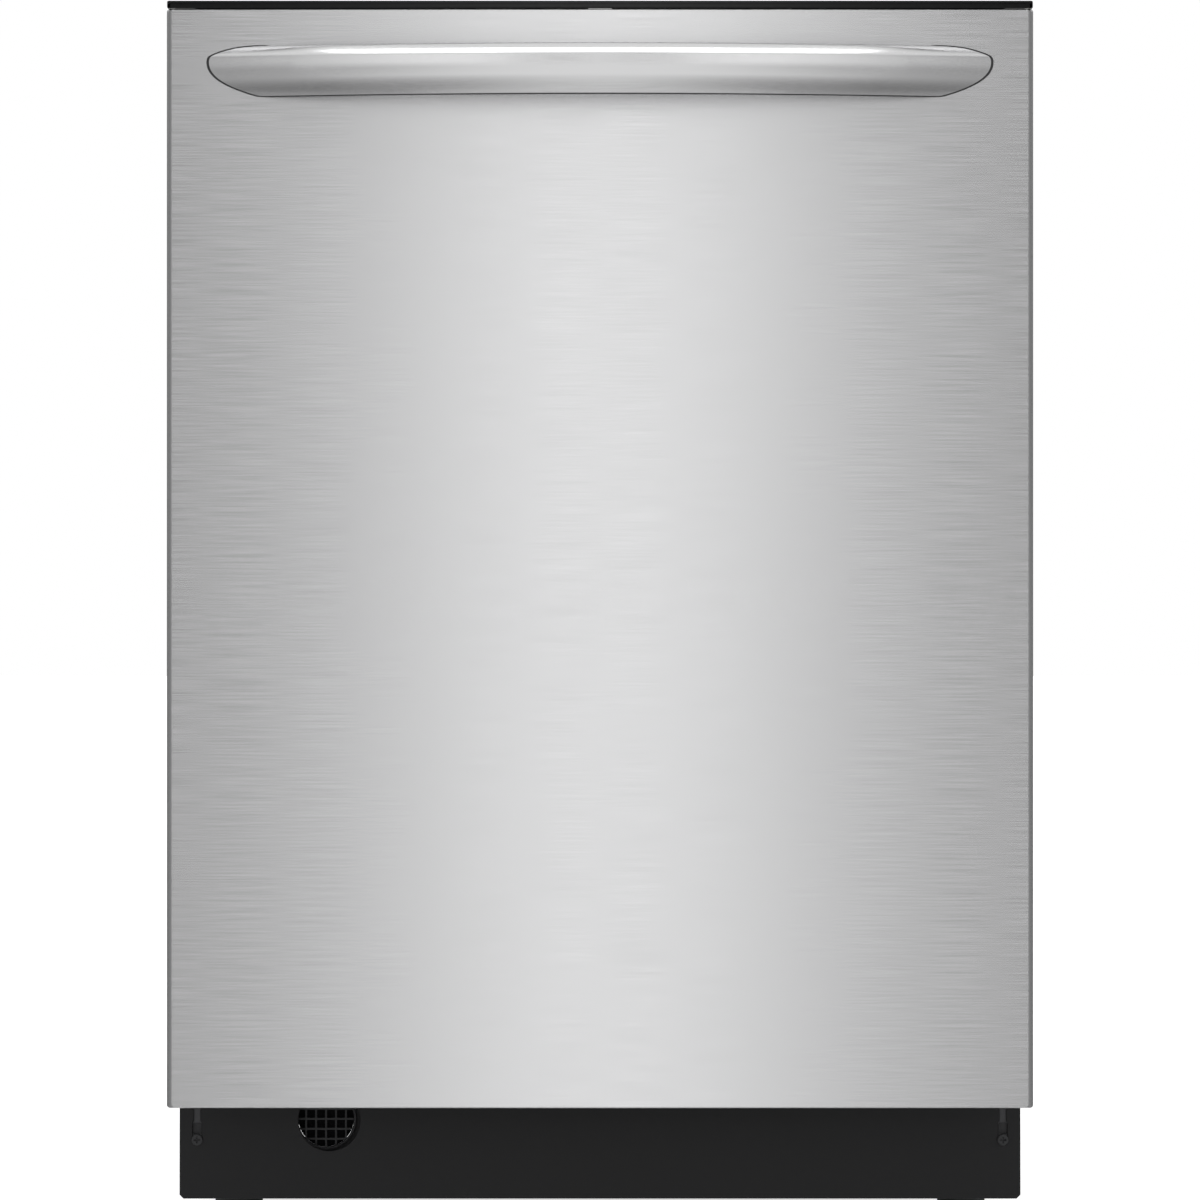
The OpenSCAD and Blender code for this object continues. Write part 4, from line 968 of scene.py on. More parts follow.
def cross_shape(across, up, reach, half):
    """The outline of a cross recess, which can be drawn a little larger or smaller."""

    def ring(grow=0.0):
        far, near = reach + grow, half + grow
        return [(across + a, up + b) for a, b in
                ((near, near), (near, far), (-near, far), (-near, near), (-far, near), (-far, -near),
                 (-near, -near), (-near, -far), (near, -far), (near, -near), (far, -near), (far, near))]

    return ring


def add_cross_screw(bm, x, z, seat, radius, height, shank, length):
    """A round head with a cross recess on a threaded shank, facing the front."""
    head = round_shape(x, z, radius, 8)
    recess = cross_shape(x, z, radius * 0.52, radius * 0.12)
    add_plate(bm, head, [recess], facing(seat - height), height, 0.4)
    core = [(-height * 0.35, 0.2), (-height * 0.35, radius * 0.8), (-0.3, radius * 0.8), (0.3, shank)]
    for k in range(int(length / 0.9)):
        along = 0.3 + k * 0.9
        core += [(along, shank * 0.82), (along + 0.45, shank)]
    core += [(length, shank * 0.7), (length + 0.4, 0.2)]
    add_turned(bm, spot(x, seat, z), (0, 1, 0), core, 28)


def build_kick_screws():
    bm = bmesh.new()
    for side in (-1, 1):
        add_cross_screw(bm, side * SCREW_X, SCREW_Z, 89.7, 4.0, 2.2, 1.9, 8.4)
    return finish_mesh(bm, "kick_screw_pair", black_plastic, "cabinet", ["toe_kick_screws"], smooth=35)


build_kick_brackets()
build_clip_nuts()
build_kick_screws()
print("brackets, clip nuts and screws fitted")

# %% [markdown]
# The four feet are nylon pads on threaded legs. Each thread is a real groove, so the legs
# read as screws from the side, where the light runs along their flanks.

# %% Screw in the feet
def build_foot(name):
    (x0, v0, _), (x1, v1, top) = box_mm(name)
    x, v = (x0 + x1) / 2, (v0 + v1) / 2
    profile = [(0, 14.5), (0.3, 16.2), (1.2, 17), (4.2, 17), (5.4, 16.4), (6, 15), (6, 9.6), (6.6, 9),
               (9.4, 9), (10, 8.4), (10, 5)]
    along = 10.6
    while along < top - 2.4:
        profile += [(along, 4.35), (along + 0.55, 4.35), (along + 0.95, 5), (along + 1.3, 5)]
        along += 1.75
    profile += [(top - 0.9, 5), (top, 4.2)]
    bm = bmesh.new()
    add_turned(bm, spot(x, v, 0), (0, 0, 1), profile, 36)
    for a, b in around(6, 12.6):
        add_turned(bm, spot(x + a, v + b, 6), (0, 0, 1), [(-0.4, 2), (0.5, 2), (0.8, 1.6)], 12)
    return finish_mesh(bm, f"levelling_{name}", foot_plastic, name, [name], smooth=35)


levelling_feet = [build_foot(f"foot_{end}_{side}") for end in ("front", "rear")
                  for side in ("left", "right")]
print(len(levelling_feet), "feet screwed in")

# %% [markdown]
# The racks are vinyl-dipped wire. Each wire is one bent rod that runs across the floor and
# up both walls, as real racks are welded, with heavier rods around the rims. The solids
# use square bars for the same wires; round ones catch a thin bright line along each rod.

# %% Numbers the racks share
RACK_X = 260.0
RACK_V0, RACK_V1 = 118.0, 588.0
RACK_MID = (RACK_V0 + RACK_V1) / 2
# Where the brackets and runners start, just outside the rack's sides
FLANK_X = RACK_X + 0.3
WIRE = 1.9
LOWER_Z, LOWER_H = 200.0, 150.0
UPPER_Z, UPPER_H = 510.0, 130.0


def bent(points, radius, steps=5):
    """A line of points whose inner corners are rounded, with the radius in mm."""
    points = [Vector(point) for point in points]
    line = [points[0]]
    for before, corner, after in zip(points, points[1:], points[2:]):
        into, out = (before - corner), (after - corner)
        reach = min(radius * MM, into.length * 0.49, out.length * 0.49)
        start, stop = corner + into.normalized() * reach, corner + out.normalized() * reach
        for k in range(steps + 1):
            t = k / steps
            line.append(start * (1 - t) ** 2 + corner * (2 * t * (1 - t)) + stop * t ** 2)
    return line + [points[-1]]


def ring_line(x, v0, v1, z, radius, steps=6):
    """A closed rounded rectangle, lying flat at one height."""
    outline = rounded_outline(x, (v1 - v0) / 2, radius, steps)
    return [spot(a, (v0 + v1) / 2 + b, z) for a, b in outline]


def add_rack_shell(bm, z, h, pitch=33.0):
    """Crosswise and lengthwise bent wires inside a rim, with a middle rail."""
    x, v0, v1 = RACK_X - 4.0, RACK_V0 + 4.0, RACK_V1 - 4.0
    top, floor = z + h - 4.0, z + WIRE + 0.2
    for crosswise, first, last, low in ((True, v0 + 12, v1 - 12, floor + 1.6),
                                        (False, 12 - x, x - 12, floor)):
        count = round((last - first) / pitch)
        for k in range(count + 1):
            a = first + (last - first) * k / count
            ends = ((-x, a), (x, a)) if crosswise else ((a, v0), (a, v1))
            line = [spot(*ends[0], top), spot(*ends[0], low), spot(*ends[1], low), spot(*ends[1], top)]
            add_tube(bm, bent(line, 9), WIRE, 8)
    rim_x, rim_v0, rim_v1 = RACK_X - 2.2, RACK_V0 + 2.2, RACK_V1 - 2.2
    for level, radius in ((top + 1.8, 2.2), (z + h * 0.5, 1.9)):
        add_tube(bm, ring_line(rim_x, rim_v0, rim_v1, level, 14), radius, 10, loop=True)
    add_tube(bm, ring_line(x - 6, v0 + 6, v1 - 6, floor + 0.4, 10), WIRE, 8, loop=True)


def add_tine(bm, x, v, z0, z1, radius):
    """An upright rod with a round tip."""
    top = z1 - radius
    steps = [(z0, 1.0), (top, 1.0), (top + radius * 0.55, 0.85), (top + radius * 0.9, 0.45), (z1, 0.08)]
    add_loft(bm, [circle_points(spot(x, v, z), radius * share * MM, Vector((1, 0, 0)), Vector((0, 1, 0)), 8)
                  for z, share in steps])


# %% Weld the lower rack
AXLE_Z = 183.4
AXLE_V = (195.5, 548.0)
WHEEL_X = 264.0
BASKET_Z = 204.3
TINE_TOP = 288.3
FOLD_V, FOLD_Z = 418.0, 210.3


def build_lower_rack():
    bm = bmesh.new()
    add_rack_shell(bm, LOWER_Z, LOWER_H)
    for v in (122, 182, 242, 402):
        row = RACK_V0 + v
        add_tube(bm, [spot(-209, row, BASKET_Z + 2), spot(209, row, BASKET_Z + 2)], WIRE, 8)
        for k in range(13):
            add_tine(bm, -208 + 416 * k / 12, row, BASKET_Z + 1, TINE_TOP, 1.7)
    for side in (-1, 1):
        for v in AXLE_V:
            add_box(bm, (side * FLANK_X, v - 7, AXLE_Z - 7), (side * (FLANK_X + 3.4), v + 7, 240), 1.2, 3)
            add_turned(bm, spot(side * (WHEEL_X - 0.8), v, AXLE_Z), (side, 0, 0),
                       [(0, 3), (11.1, 3), (11.1, 4.6), (11.6, 5), (12.4, 4.6), (12.8, 3)], 24)
    for x in (-124, 0, 124):
        lug = slot_shape(FOLD_V, FOLD_Z + 0.1, 6.8, 6.0, 5.0)
        bore = round_shape(FOLD_V, FOLD_Z, 2.7, 4)
        add_plate(bm, lug, [bore], lambda a, b, up: spot(x - 4 + up, a, b), 8.0, 0.5)
    return finish_mesh(bm, "lower_wire_rack", rack_vinyl, "lower_rack", ["lower_rack"], smooth=50)


def build_fold_tines():
    bm = bmesh.new()
    add_turned(bm, spot(-150, FOLD_V, FOLD_Z), (1, 0, 0),
               [(0, 1.8), (0.7, 2.4), (299.3, 2.4), (300, 1.8)], 12)
    for k in range(8):
        x = -142 + 284 * k / 7
        add_tine(bm, x, FOLD_V, FOLD_Z, TINE_TOP, 1.9)
        add_turned(bm, spot(x - 3.2, FOLD_V, FOLD_Z), (1, 0, 0),
                   [(0, 2.8), (0.6, 3.4), (5.8, 3.4), (6.4, 2.8)], 14)
    return finish_mesh(bm, "folding_tine_row", rack_vinyl, "fold_tines", ["fold_tines"], smooth=50)


def build_wheels(name, v):
    """Moulded wheels: a rim, a thin web with ribs, and a hub around the axle."""
    bm = bmesh.new()
    for side in (-1, 1):
        profile = [(0, 3.1), (0, 6), (0.4, 6.6), (3.4, 7), (3.6, 13.6), (0.5, 14.2), (0, 15), (0, 16.6),
                   (0.9, 17.5), (9.1, 17.5), (10, 16.6), (10, 15), (9.5, 14.2), (6.4, 13.6), (6.6, 7),
                   (9.6, 6.6), (10, 6), (10, 3.1)]
        add_turned_ring(bm, spot(side * WHEEL_X, v, AXLE_Z), (side, 0, 0), profile, 44)
        for out_v, out_z in around(8, 1.0):
            # A rib's four corners at the hub and at the rim: along the axle and across the rib
            corners = ((1.2, -0.7), (1.2, 0.7), (8.8, 0.7), (8.8, -0.7))
            add_loft(bm, [[spot(side * (WHEEL_X + x), v + out_v * r - out_z * y,
                                AXLE_Z + out_z * r + out_v * y)
                           for x, y in corners] for r in (6.4, 14.2)])
    return finish_mesh(bm, f"moulded_{name}", white_plastic, name, [name], smooth=35)


build_lower_rack()
build_fold_tines()
rack_wheels = [build_wheels("lower_rack_wheels_front", AXLE_V[0]),
               build_wheels("lower_rack_wheels_rear", AXLE_V[1])]
print("lower rack welded, with", len(rack_wheels), "pairs of wheels")

# %% [markdown]
# The basket's walls are full of slots, so that water reaches the cutlery. Each wall is one
# plate with round-ended holes, four cells side by side, on a rim that stiffens the top.

# %% Mould the cutlery basket
BASKET_X, BASKET_V0, BASKET_V1, BASKET_TOP = 130.0, 132.0, 206.0, 324.3


def add_slotted_wall(bm, a0, a1, columns, place, z0=BASKET_Z, z1=BASKET_TOP, rows=4):
    """A wall from a0 to a1 with a grid of upright slots."""
    outer = slot_shape((a0 + a1) / 2, (z0 + z1) / 2, (a1 - a0) / 2, (z1 - z0) / 2, 1.0, 3)
    width, height = (a1 - a0) / columns, (z1 - z0 - 16) / rows
    holes = [slot_shape(a0 + width * (c + 0.5), z0 + 6 + height * (r + 0.5),
                        width / 2 - 1.7, height / 2 - 2.2, 2.2, 3)
             for c in range(columns) for r in range(rows)]
    add_plate(bm, outer, holes, place, 2.0, 0.35, 2)


def build_basket():
    bm = bmesh.new()
    x = BASKET_X
    for v in (BASKET_V0, BASKET_V1 - 2):
        add_slotted_wall(bm, -x, x, 28, facing(v))
    cell = (2 * x - 2) / 4
    for k in range(5):
        side = -x + k * cell
        add_slotted_wall(bm, BASKET_V0 + 1, BASKET_V1 - 1, 7, lambda a, b, up: spot(side + up, a, b))
    floor = slot_shape(0, (BASKET_V0 + BASKET_V1) / 2, x - 0.5, (BASKET_V1 - BASKET_V0) / 2 - 0.5, 2)
    holes = [slot_shape(-x + 6 + (2 * x - 12) * (c + 0.5) / 28, BASKET_V0 + 4 + 16.5 * (r + 0.5),
                        2.9, 6.2, 2.2, 3) for c in range(28) for r in range(4)]
    add_plate(bm, floor, holes, lying(BASKET_Z), 2.0, 0.3, 2)
    rim = ring_line(x - 1.2, BASKET_V0 + 1.2, BASKET_V1 - 1.2, BASKET_TOP - 1.6, 3)
    add_tube(bm, rim, 1.2, 8, loop=True)
    return finish_mesh(bm, "slotted_basket", grey_plastic, "silverware_basket", ["silverware_basket"],
                       smooth=50)


build_basket()
print("cutlery basket moulded")

# %% [markdown]
# The upper rack runs on two rails and carries its own spray arm, fed by a flat duct that
# meets the pipe at the tub's back. A shelf for cups folds up on a long rod at one side.

# %% Weld the upper rack
RAIL_Z = 501.0
SHELF_X, SHELF_Z = 246.0, 638.0
UPPER_ARM_Z = 470.0
PIPE_Z = 487.0


def build_upper_rack():
    bm = bmesh.new()
    add_rack_shell(bm, UPPER_Z, UPPER_H)
    for x in (-88, -28, 32, 92):
        v0, v1 = RACK_MID - 193, RACK_MID + 193
        add_tube(bm, [spot(x - 2, v0 - 1, UPPER_Z + 6.3), spot(x - 2, v1 + 1, UPPER_Z + 6.3)], WIRE, 8)
        for k in range(12):
            add_tine(bm, x - 2, v0 + (v1 - v0) * k / 11, UPPER_Z + 5, UPPER_Z + 64.3, 1.7)
    for side in (-1, 1):
        for x, low, high in ((281.1, 2.3, 6.3), (281.1, 15, 19), (264.3, 3, 18.6)):
            add_box(bm, (side * FLANK_X, RACK_V0 + 6, RAIL_Z + low),
                    (side * x, RACK_V1 - 6, RAIL_Z + high), 1.2, 3)
        for v in (140, 250, 456, 566):
            add_turned(bm, spot(side * 263, v, RAIL_Z + 10.6), (side, 0, 0),
                       [(0, 6.4), (1, 7.6), (15, 7.6), (16, 6.4)], 24)
    hub = [(-5, 10), (-4, 12), (-0.4, 12), (-0.3, 8), (12.3, 8), (12.4, 14.6), (13.4, 16)]
    hub = [(UPPER_ARM_Z + z, radius) for z, radius in hub]
    hub += [(PIPE_Z + 12.6, 16), (PIPE_Z + 14, 14.6), (PIPE_Z + 14, 8), (UPPER_Z - 0.4, 8)]
    add_turned(bm, spot(0, RACK_MID, 0), (0, 0, 1), hub)
    rings = []
    for v, grow in ((RACK_MID, -0.5), (RACK_MID + 4, 0), (572, 0), (574, 1.0), (583.5, 1.0), (584.5, 0.2)):
        outline = rounded_outline(12 + grow, 6 + grow * 0.9, 5, 5)
        rings.append([spot(a, v, PIPE_Z + 7 + b) for a, b in outline])
    add_loft(bm, rings)
    for v in (158, 528):
        bore = round_shape(SHELF_X, SHELF_Z, 3.15, 4)

        def snap(grow=0.0):
            points = arc((SHELF_X, SHELF_Z), 5.6 + grow, 60, 300, 12)
            return points + [(255.4 + grow, SHELF_Z - 5 - grow), (255.4 + grow, SHELF_Z + 5 + grow)]

        add_plate(bm, snap, [bore], facing(v), 10.0, 0.5)
    return finish_mesh(bm, "upper_wire_rack", rack_vinyl, "upper_rack", ["upper_rack"], smooth=50)


def build_cup_shelf():
    """A slotted tray on its pivot rod, with a rolled edge on the free side."""
    bm = bmesh.new()
    add_turned(bm, spot(SHELF_X, 148, SHELF_Z), (0, 1, 0),
               [(0, 2.4), (0.6, 3), (399.4, 3), (400, 2.4)], 20)
    outer = slot_shape(SHELF_X - 44.5, 348, 44.5, 176, 5)
    holes = [slot_shape(SHELF_X - 49, 192 + 30 * k, 30.5, 9.6, 4, 4) for k in range(11)]
    add_plate(bm, outer, holes, lying(SHELF_Z - 1.6), 3.2, 0.9)
    edge = [spot(SHELF_X - 87.6, 180, SHELF_Z), spot(SHELF_X - 87.6, 516, SHELF_Z)]
    add_tube(bm, edge, 2.0, 14)
    for v in (176, 348, 520):
        add_turned(bm, spot(SHELF_X, v - 6, SHELF_Z), (0, 1, 0),
                   [(0, 3.1), (0.8, 4.2), (11.2, 4.2), (12, 3.1)], 20)
    return finish_mesh(bm, "folding_cup_tray", grey_plastic, "cup_shelf", ["cup_shelf"], smooth=50)


build_upper_rack()
build_cup_shelf()
print("upper rack and cup shelf hung")

# %% [markdown]
# Each spray arm is two moulded halves: wide and domed at the hub, slim at the tips, with
# jets along the top that point slightly sideways so that the water turns the arm.

# %% Mould the spray arms
def build_arm(name, v, z):
    bm = bmesh.new()
    length, thick = 220.0, 12.0
    for side in (-1, 1):
        rings = []
        for t in (k / 24 for k in range(25)):
            x = 8.2 + (length - 8.2) * t
            width = 25.0 * (1 - t) + 13.6 * t
            height = thick / 2 - 1.4 * min(1, t * 2.2)
            if t > 0.9:
                width *= math.sqrt(max(0.02, 1 - ((t - 0.9) / 0.1) ** 2))
                height *= math.sqrt(max(0.10, 1 - ((t - 0.9) / 0.1) ** 2))
            ring = []
            for m in range(20):
                turn = 2 * math.pi * m / 20
                flat = abs(math.sin(turn)) ** 0.8 * math.copysign(1, math.sin(turn))
                lengthwise = abs(math.cos(turn)) ** 0.8 * math.copysign(1, math.cos(turn))
                ring.append(spot(side * x, v + width * lengthwise, z + thick / 2 + height * flat))
            rings.append(ring)
        add_loft(bm, rings)
        for k in range(1, 7):
            x = side * (20 + k * 29)
            swing = 5 if k % 2 else -5
            add_turned(bm, spot(x, v + swing, z + thick - 3.4), (0, 0.3 * side, 1),
                       [(0, 3.4), (1.9, 3.1), (2.4, 2.4), (1.4, 1.5), (0.2, 1.4)], 16)
        for sign in (-1, 1):
            add_tube(bm, [spot(side * x, v + sign * w, z + thick / 2)
                          for x, w in ((26, 25.2), (120, 20), (200, 15))], 0.5, 6)
    hub = [(0, 8.1), (0, 19), (1, 24), (2.5, 28.6), (5, 30), (7.2, 30), (9.5, 27.5), (11, 22), (12, 16),
           (12, 8.1)]
    add_turned_ring(bm, spot(0, v, z), (0, 0, 1), hub, 44)
    return finish_mesh(bm, f"domed_{name}", grey_plastic, name, [name], smooth=45)


WASH_V = sum(corner[1] for corner in box_mm("filter_plate")) / 2
spray_arms = [build_arm("lower_spray_arm", WASH_V, box_mm("lower_spray_arm")[0][2]),
              build_arm("upper_spray_arm", RACK_MID, UPPER_ARM_Z)]
print(len(spray_arms), "spray arms moulded, wash axis", WASH_V, "mm behind the door")

# %% [markdown]
# The tub is one pressed shell: walls and ceiling bend round into a flange at the front.
# Sweeping one section along the walls gives every bend the same radius, which boxes joined
# at the corners could not. Shallow pressed pads stiffen the flat walls.

# %% Tools for sweeps and pads
def u_path(half, top, foot, radius, steps=8):
    """Up the left, over the top and down the right: flat points with outward directions."""
    left = arc((-half + radius, top - radius), radius, 180, 90, steps)
    right = arc((half - radius, top - radius), radius, 90, 0, steps)
    turns = [180 - 90 * k / steps for k in range(steps + 1)] + [90 - 90 * k / steps for k in range(steps + 1)]
    points = [((-half, foot), 180)] + list(zip(left + right, turns)) + [((half, foot), 0)]
    return [(a, b, math.cos(math.radians(t)), math.sin(math.radians(t))) for (a, b), t in points]


def sweep_u(bm, section, half, top, foot, radius, steps=8):
    """Sweep a closed section of (outward, depth) points, in mm, along a U."""
    rings = [[spot(a + out * x, v, b + out * y) for out, v in section]
             for a, b, x, y in u_path(half, top, foot, radius, steps)]
    add_loft(bm, rings)


def add_pressing(bm, place, half_a, half_b, rise, radius=14.0):
    """A shallow pressed pad with sloping sides: place(a, b, h) sets a point from its middle."""
    levels = [(0, -0.3), (0, 0), (-1.2, rise * 0.12), (-2.6, rise * 0.5), (-4.0, rise * 0.88),
              (-5.2, rise), (-7, rise)]
    rings = [[Vector(place(a, b, up)) for a, b in
              rounded_outline(half_a + grow, half_b + grow, radius + grow, 5)] for grow, up in levels]
    add_loft(bm, rings)


def add_pad(bm, place, ends_a, ends_b, rise=1.4, radius=14.0):
    """A pressed pad between two limits each way."""
    mid_a, mid_b = sum(ends_a) / 2, sum(ends_b) / 2
    add_pressing(bm, lambda a, b, up: place(mid_a + a, mid_b + b, up),
                 (ends_a[1] - ends_a[0]) / 2, (ends_b[1] - ends_b[0]) / 2, rise, radius)


def add_quilt(bm, long_a, long_b, place, full, pinch=92.0):
    """A soft pad: flat below, crowned above, thinner at its edges and dimpled by stitches."""

    def places(length):
        count = round((length - 24) / 11)
        inner = [12 + (length - 24) * k / count for k in range(count + 1)]
        return [0, 0.6, 2.2, 5.5] + inner + [length - 5.5, length - 2.2, length - 0.6, length]

    def swell(a, b):
        near = min(a, long_a - a, b, long_b - b)
        rim = math.sqrt(max(0.0, 1 - (1 - min(1.0, near / 14)) ** 2))
        wave = 1 + 0.04 * math.sin(a / 17 + b / 41) * math.sin(b / 23 - a / 53)
        off_a, off_b = a % pinch - pinch / 2, b % pinch - pinch / 2
        dent = 0.42 * math.exp(-(off_a ** 2 + off_b ** 2) / 260)
        return min(full, full * (0.14 + 0.82 * rim) * wave * (1 - dent))

    rows = places(long_a)
    columns = places(long_b)
    upper = [[bm.verts.new(place(a, b, swell(a, b))) for b in columns] for a in rows]
    lower = [[bm.verts.new(place(a, b, 0.05)) for b in columns] for a in rows]
    strips = list(zip(upper, upper[1:])) + list(zip(lower, lower[1:]))
    strips += [(upper[0], lower[0]), (upper[-1], lower[-1])]
    strips += [([row[end] for row in upper], [row[end] for row in lower]) for end in (0, -1)]
    for one, two in strips:
        for k in range(len(one) - 1):
            bm.faces.new((one[k], one[k + 1], two[k + 1], two[k]))


# %% Press the tub
TUB_X = 284.0
TUB_TOP = box_mm("tub_back")[1][2]
DECK_Z = box_mm("tub_wrapper")[0][2]
TUB_V0, TUB_V1 = 72.0, 602.0
INNER_V0, INNER_V1 = TUB_V0 + SHEET, TUB_V1 - SHEET
FLOOR_Z, SILL_Z = 140.0, 150.0
# The ledges that the lower rack's wheels roll on, and the sump's mouth
LEDGE_X, LEDGE_Z = 254.0, 165.6
SUMP_R = 104.0
FLOAT_X, FLOAT_V = -150.0, 132.0
# The heating loop lies on a circle about the wash axis, with its two legs side by side
HEATER_R, HEATER_LEG, HEATER_Z = 150.0, 28.0, 154.0
LEG_V = WASH_V + math.sqrt(HEATER_R ** 2 - HEATER_LEG ** 2)


def build_tub():
    bm = bmesh.new()
    centre = (3, TUB_V0 + 3)
    section = [(0, TUB_V1)] + arc(centre, 3, 180, 270, 5)
    section += [(10.8, TUB_V0), (11.2, TUB_V0 + 0.4), (11.2, INNER_V0)]
    section += arc(centre, 3 - SHEET, 270, 180, 5) + [(SHEET, TUB_V1)]
    sweep_u(bm, section, TUB_X, TUB_TOP, DECK_Z, 22)
    back = slot_shape(0, (DECK_Z + TUB_TOP) / 2 + 0.7, TUB_X - 0.3, (TUB_TOP - DECK_Z) / 2 - 0.7, 21)
    add_plate(bm, back, [], facing(INNER_V1), SHEET, 0.2)
    for side in (-1, 1):
        for heights in ((186, 336), (348, 480), (542, 664), (676, 786)):
            for depths in ((104, 336), (352, 578)):
                add_pad(bm, lambda a, b, up: spot(side * (TUB_X - up), a, b), depths, heights)
        for heights in ((190, 470), (500, 780)):
            add_pad(bm, lambda a, b, up: spot(side * 148 + a, INNER_V1 - up, b), (-112, 112), heights)
        for depths in ((120, 316), (358, 576)):
            add_pad(bm, lambda a, b, up: spot(side * 150 + a, b, TUB_TOP - up), (-96, 96), depths)
    # Ribs on the outside keep the back from drumming
    for height in (176, 326, 485, 644, 796):
        add_pressing(bm, lambda a, b, up: spot(a, TUB_V1 + up, height + b), 240, 12, 1.6, 12)
    return finish_mesh(bm, "pressed_tub", tub_steel, "cabinet", ["tub_wrapper", "tub_back"], smooth=40)


def build_tub_floor():
    bm = bmesh.new()
    middle, half = (INNER_V0 + INNER_V1) / 2, (INNER_V1 - INNER_V0) / 2
    outer = slot_shape(0, middle, TUB_X - 0.2, half - 0.2, 6)
    holes = [round_shape(0, WASH_V, SUMP_R, 16)]
    holes += [round_shape(x, v, 4.3, 4)
              for x, v in ((FLOAT_X, FLOAT_V), (-HEATER_LEG, LEG_V), (HEATER_LEG, LEG_V))]
    add_plate(bm, outer, holes, lying(FLOOR_Z, -1), SHEET, 0.25)
    lip = [(-0.3, 0.2), (0.5, 0.4), (0.9, 1.4), (0.9, 6), (0.5, 8.5), (-0.3, 10.5)]
    add_turned_ring(bm, spot(0, WASH_V, FLOOR_Z), (0, 0, 1), [(up, SUMP_R + out) for up, out in lip], 72)
    sill = [(0, DECK_Z - SILL_Z), (0, -0.8), (0.2, -0.2), (0.6, 0), (1, -0.2), (SHEET, -0.8), (SHEET, -6),
            (2, -8.8), (4.5, -10), (4.5, -10.6), (SHEET, DECK_Z - SILL_Z)]
    add_loft(bm, [[spot(x, TUB_V0 + v, SILL_Z + z) for v, z in sill] for x in (-TUB_X, TUB_X)])
    wall = TUB_X - LEDGE_X
    ledge = [(wall, 0), (3, 0), (1.2, -0.5), (0.3, -1.7), (0, -3.4), (0, -26.1), (1.2, -26.1), (1.2, -3.2),
             (1.8, -1.7), (3.2, -SHEET), (wall, -SHEET)]
    for side in (-1, 1):
        add_loft(bm, [[spot(side * (LEDGE_X + x), v, LEDGE_Z + z) for x, z in ledge]
                      for v in (77.4, INNER_V1 - 0.2)])
    return finish_mesh(bm, "pressed_floor", tub_steel, "cabinet", ["tub_floor"], smooth=40)


def build_gasket():
    bm = bmesh.new()
    side = [(0.9, -3.65), (1.8, -3.3), (2.4, -2.6), (2.6, -2), (3.4, -1.8), (4, -1), (4, 0)]
    bulb = [(-a, v) for a, v in reversed(side)] + [(0, -3.7)] + side
    sweep_u(bm, [(a, TUB_V0 + v) for a, v in bulb], TUB_X + 5, TUB_TOP + 5.7, SILL_Z + 0.2, 20, 10)
    return finish_mesh(bm, "bulb_gasket", gasket_rubber, "cabinet", ["tub_gasket"], smooth=60)


def build_blanket():
    bm = bmesh.new()
    half, top, foot, radius = 285.4, TUB_TOP + 1.4, DECK_Z + 0.2, 23.0
    rise, curve = top - radius - foot, math.pi / 2 * radius
    across = 2 * (half - radius)
    total = 2 * rise + 2 * curve + across

    def lay(a, b, up):
        if a < rise:
            x, z, turn = -half, foot + a, 180.0
        elif a < rise + curve:
            turn = 180 - 90 * (a - rise) / curve
            x, z = -half + radius, top - radius
        elif a < rise + curve + across:
            x, z, turn = -half + radius + a - rise - curve, top, 90.0
        elif a < rise + 2 * curve + across:
            turn = 90 - 90 * (a - rise - curve - across) / curve
            x, z = half - radius, top - radius
        else:
            x, z, turn = half, foot + total - a, 0.0
        out = (math.cos(math.radians(turn)), math.sin(math.radians(turn)))
        if turn not in (180.0, 90.0, 0.0):
            x, z = x + out[0] * radius, z + out[1] * radius
        return spot(x + out[0] * up, 80.4 + b, z + out[1] * up)

    add_quilt(bm, total, 517.2, lay, 7.4)
    return finish_mesh(bm, "stitched_blanket", blanket_felt, "cabinet", ["insulation_blanket"], smooth=60)


build_tub()
build_tub_floor()
build_gasket()
stitched_blanket = build_blanket()
print("tub pressed, sealed and wrapped")

# %% [markdown]
# The door's inner side is a steel liner with rounded edges and pressed ribs. The detergent
# dispenser is set into it, and a felt pad fills the space in front. The flat band round the
# edge has no ribs, since the gasket presses on it.

# %% Press the door's liner and lay the felt behind it
(_, _, LINER_LOW), (LINER_X, _, LINER_HIGH) = box_mm("door_inner_liner")
LINER_V = 68.0
LINER_BEND = 5.0
DISPENSER_Z = 535.0


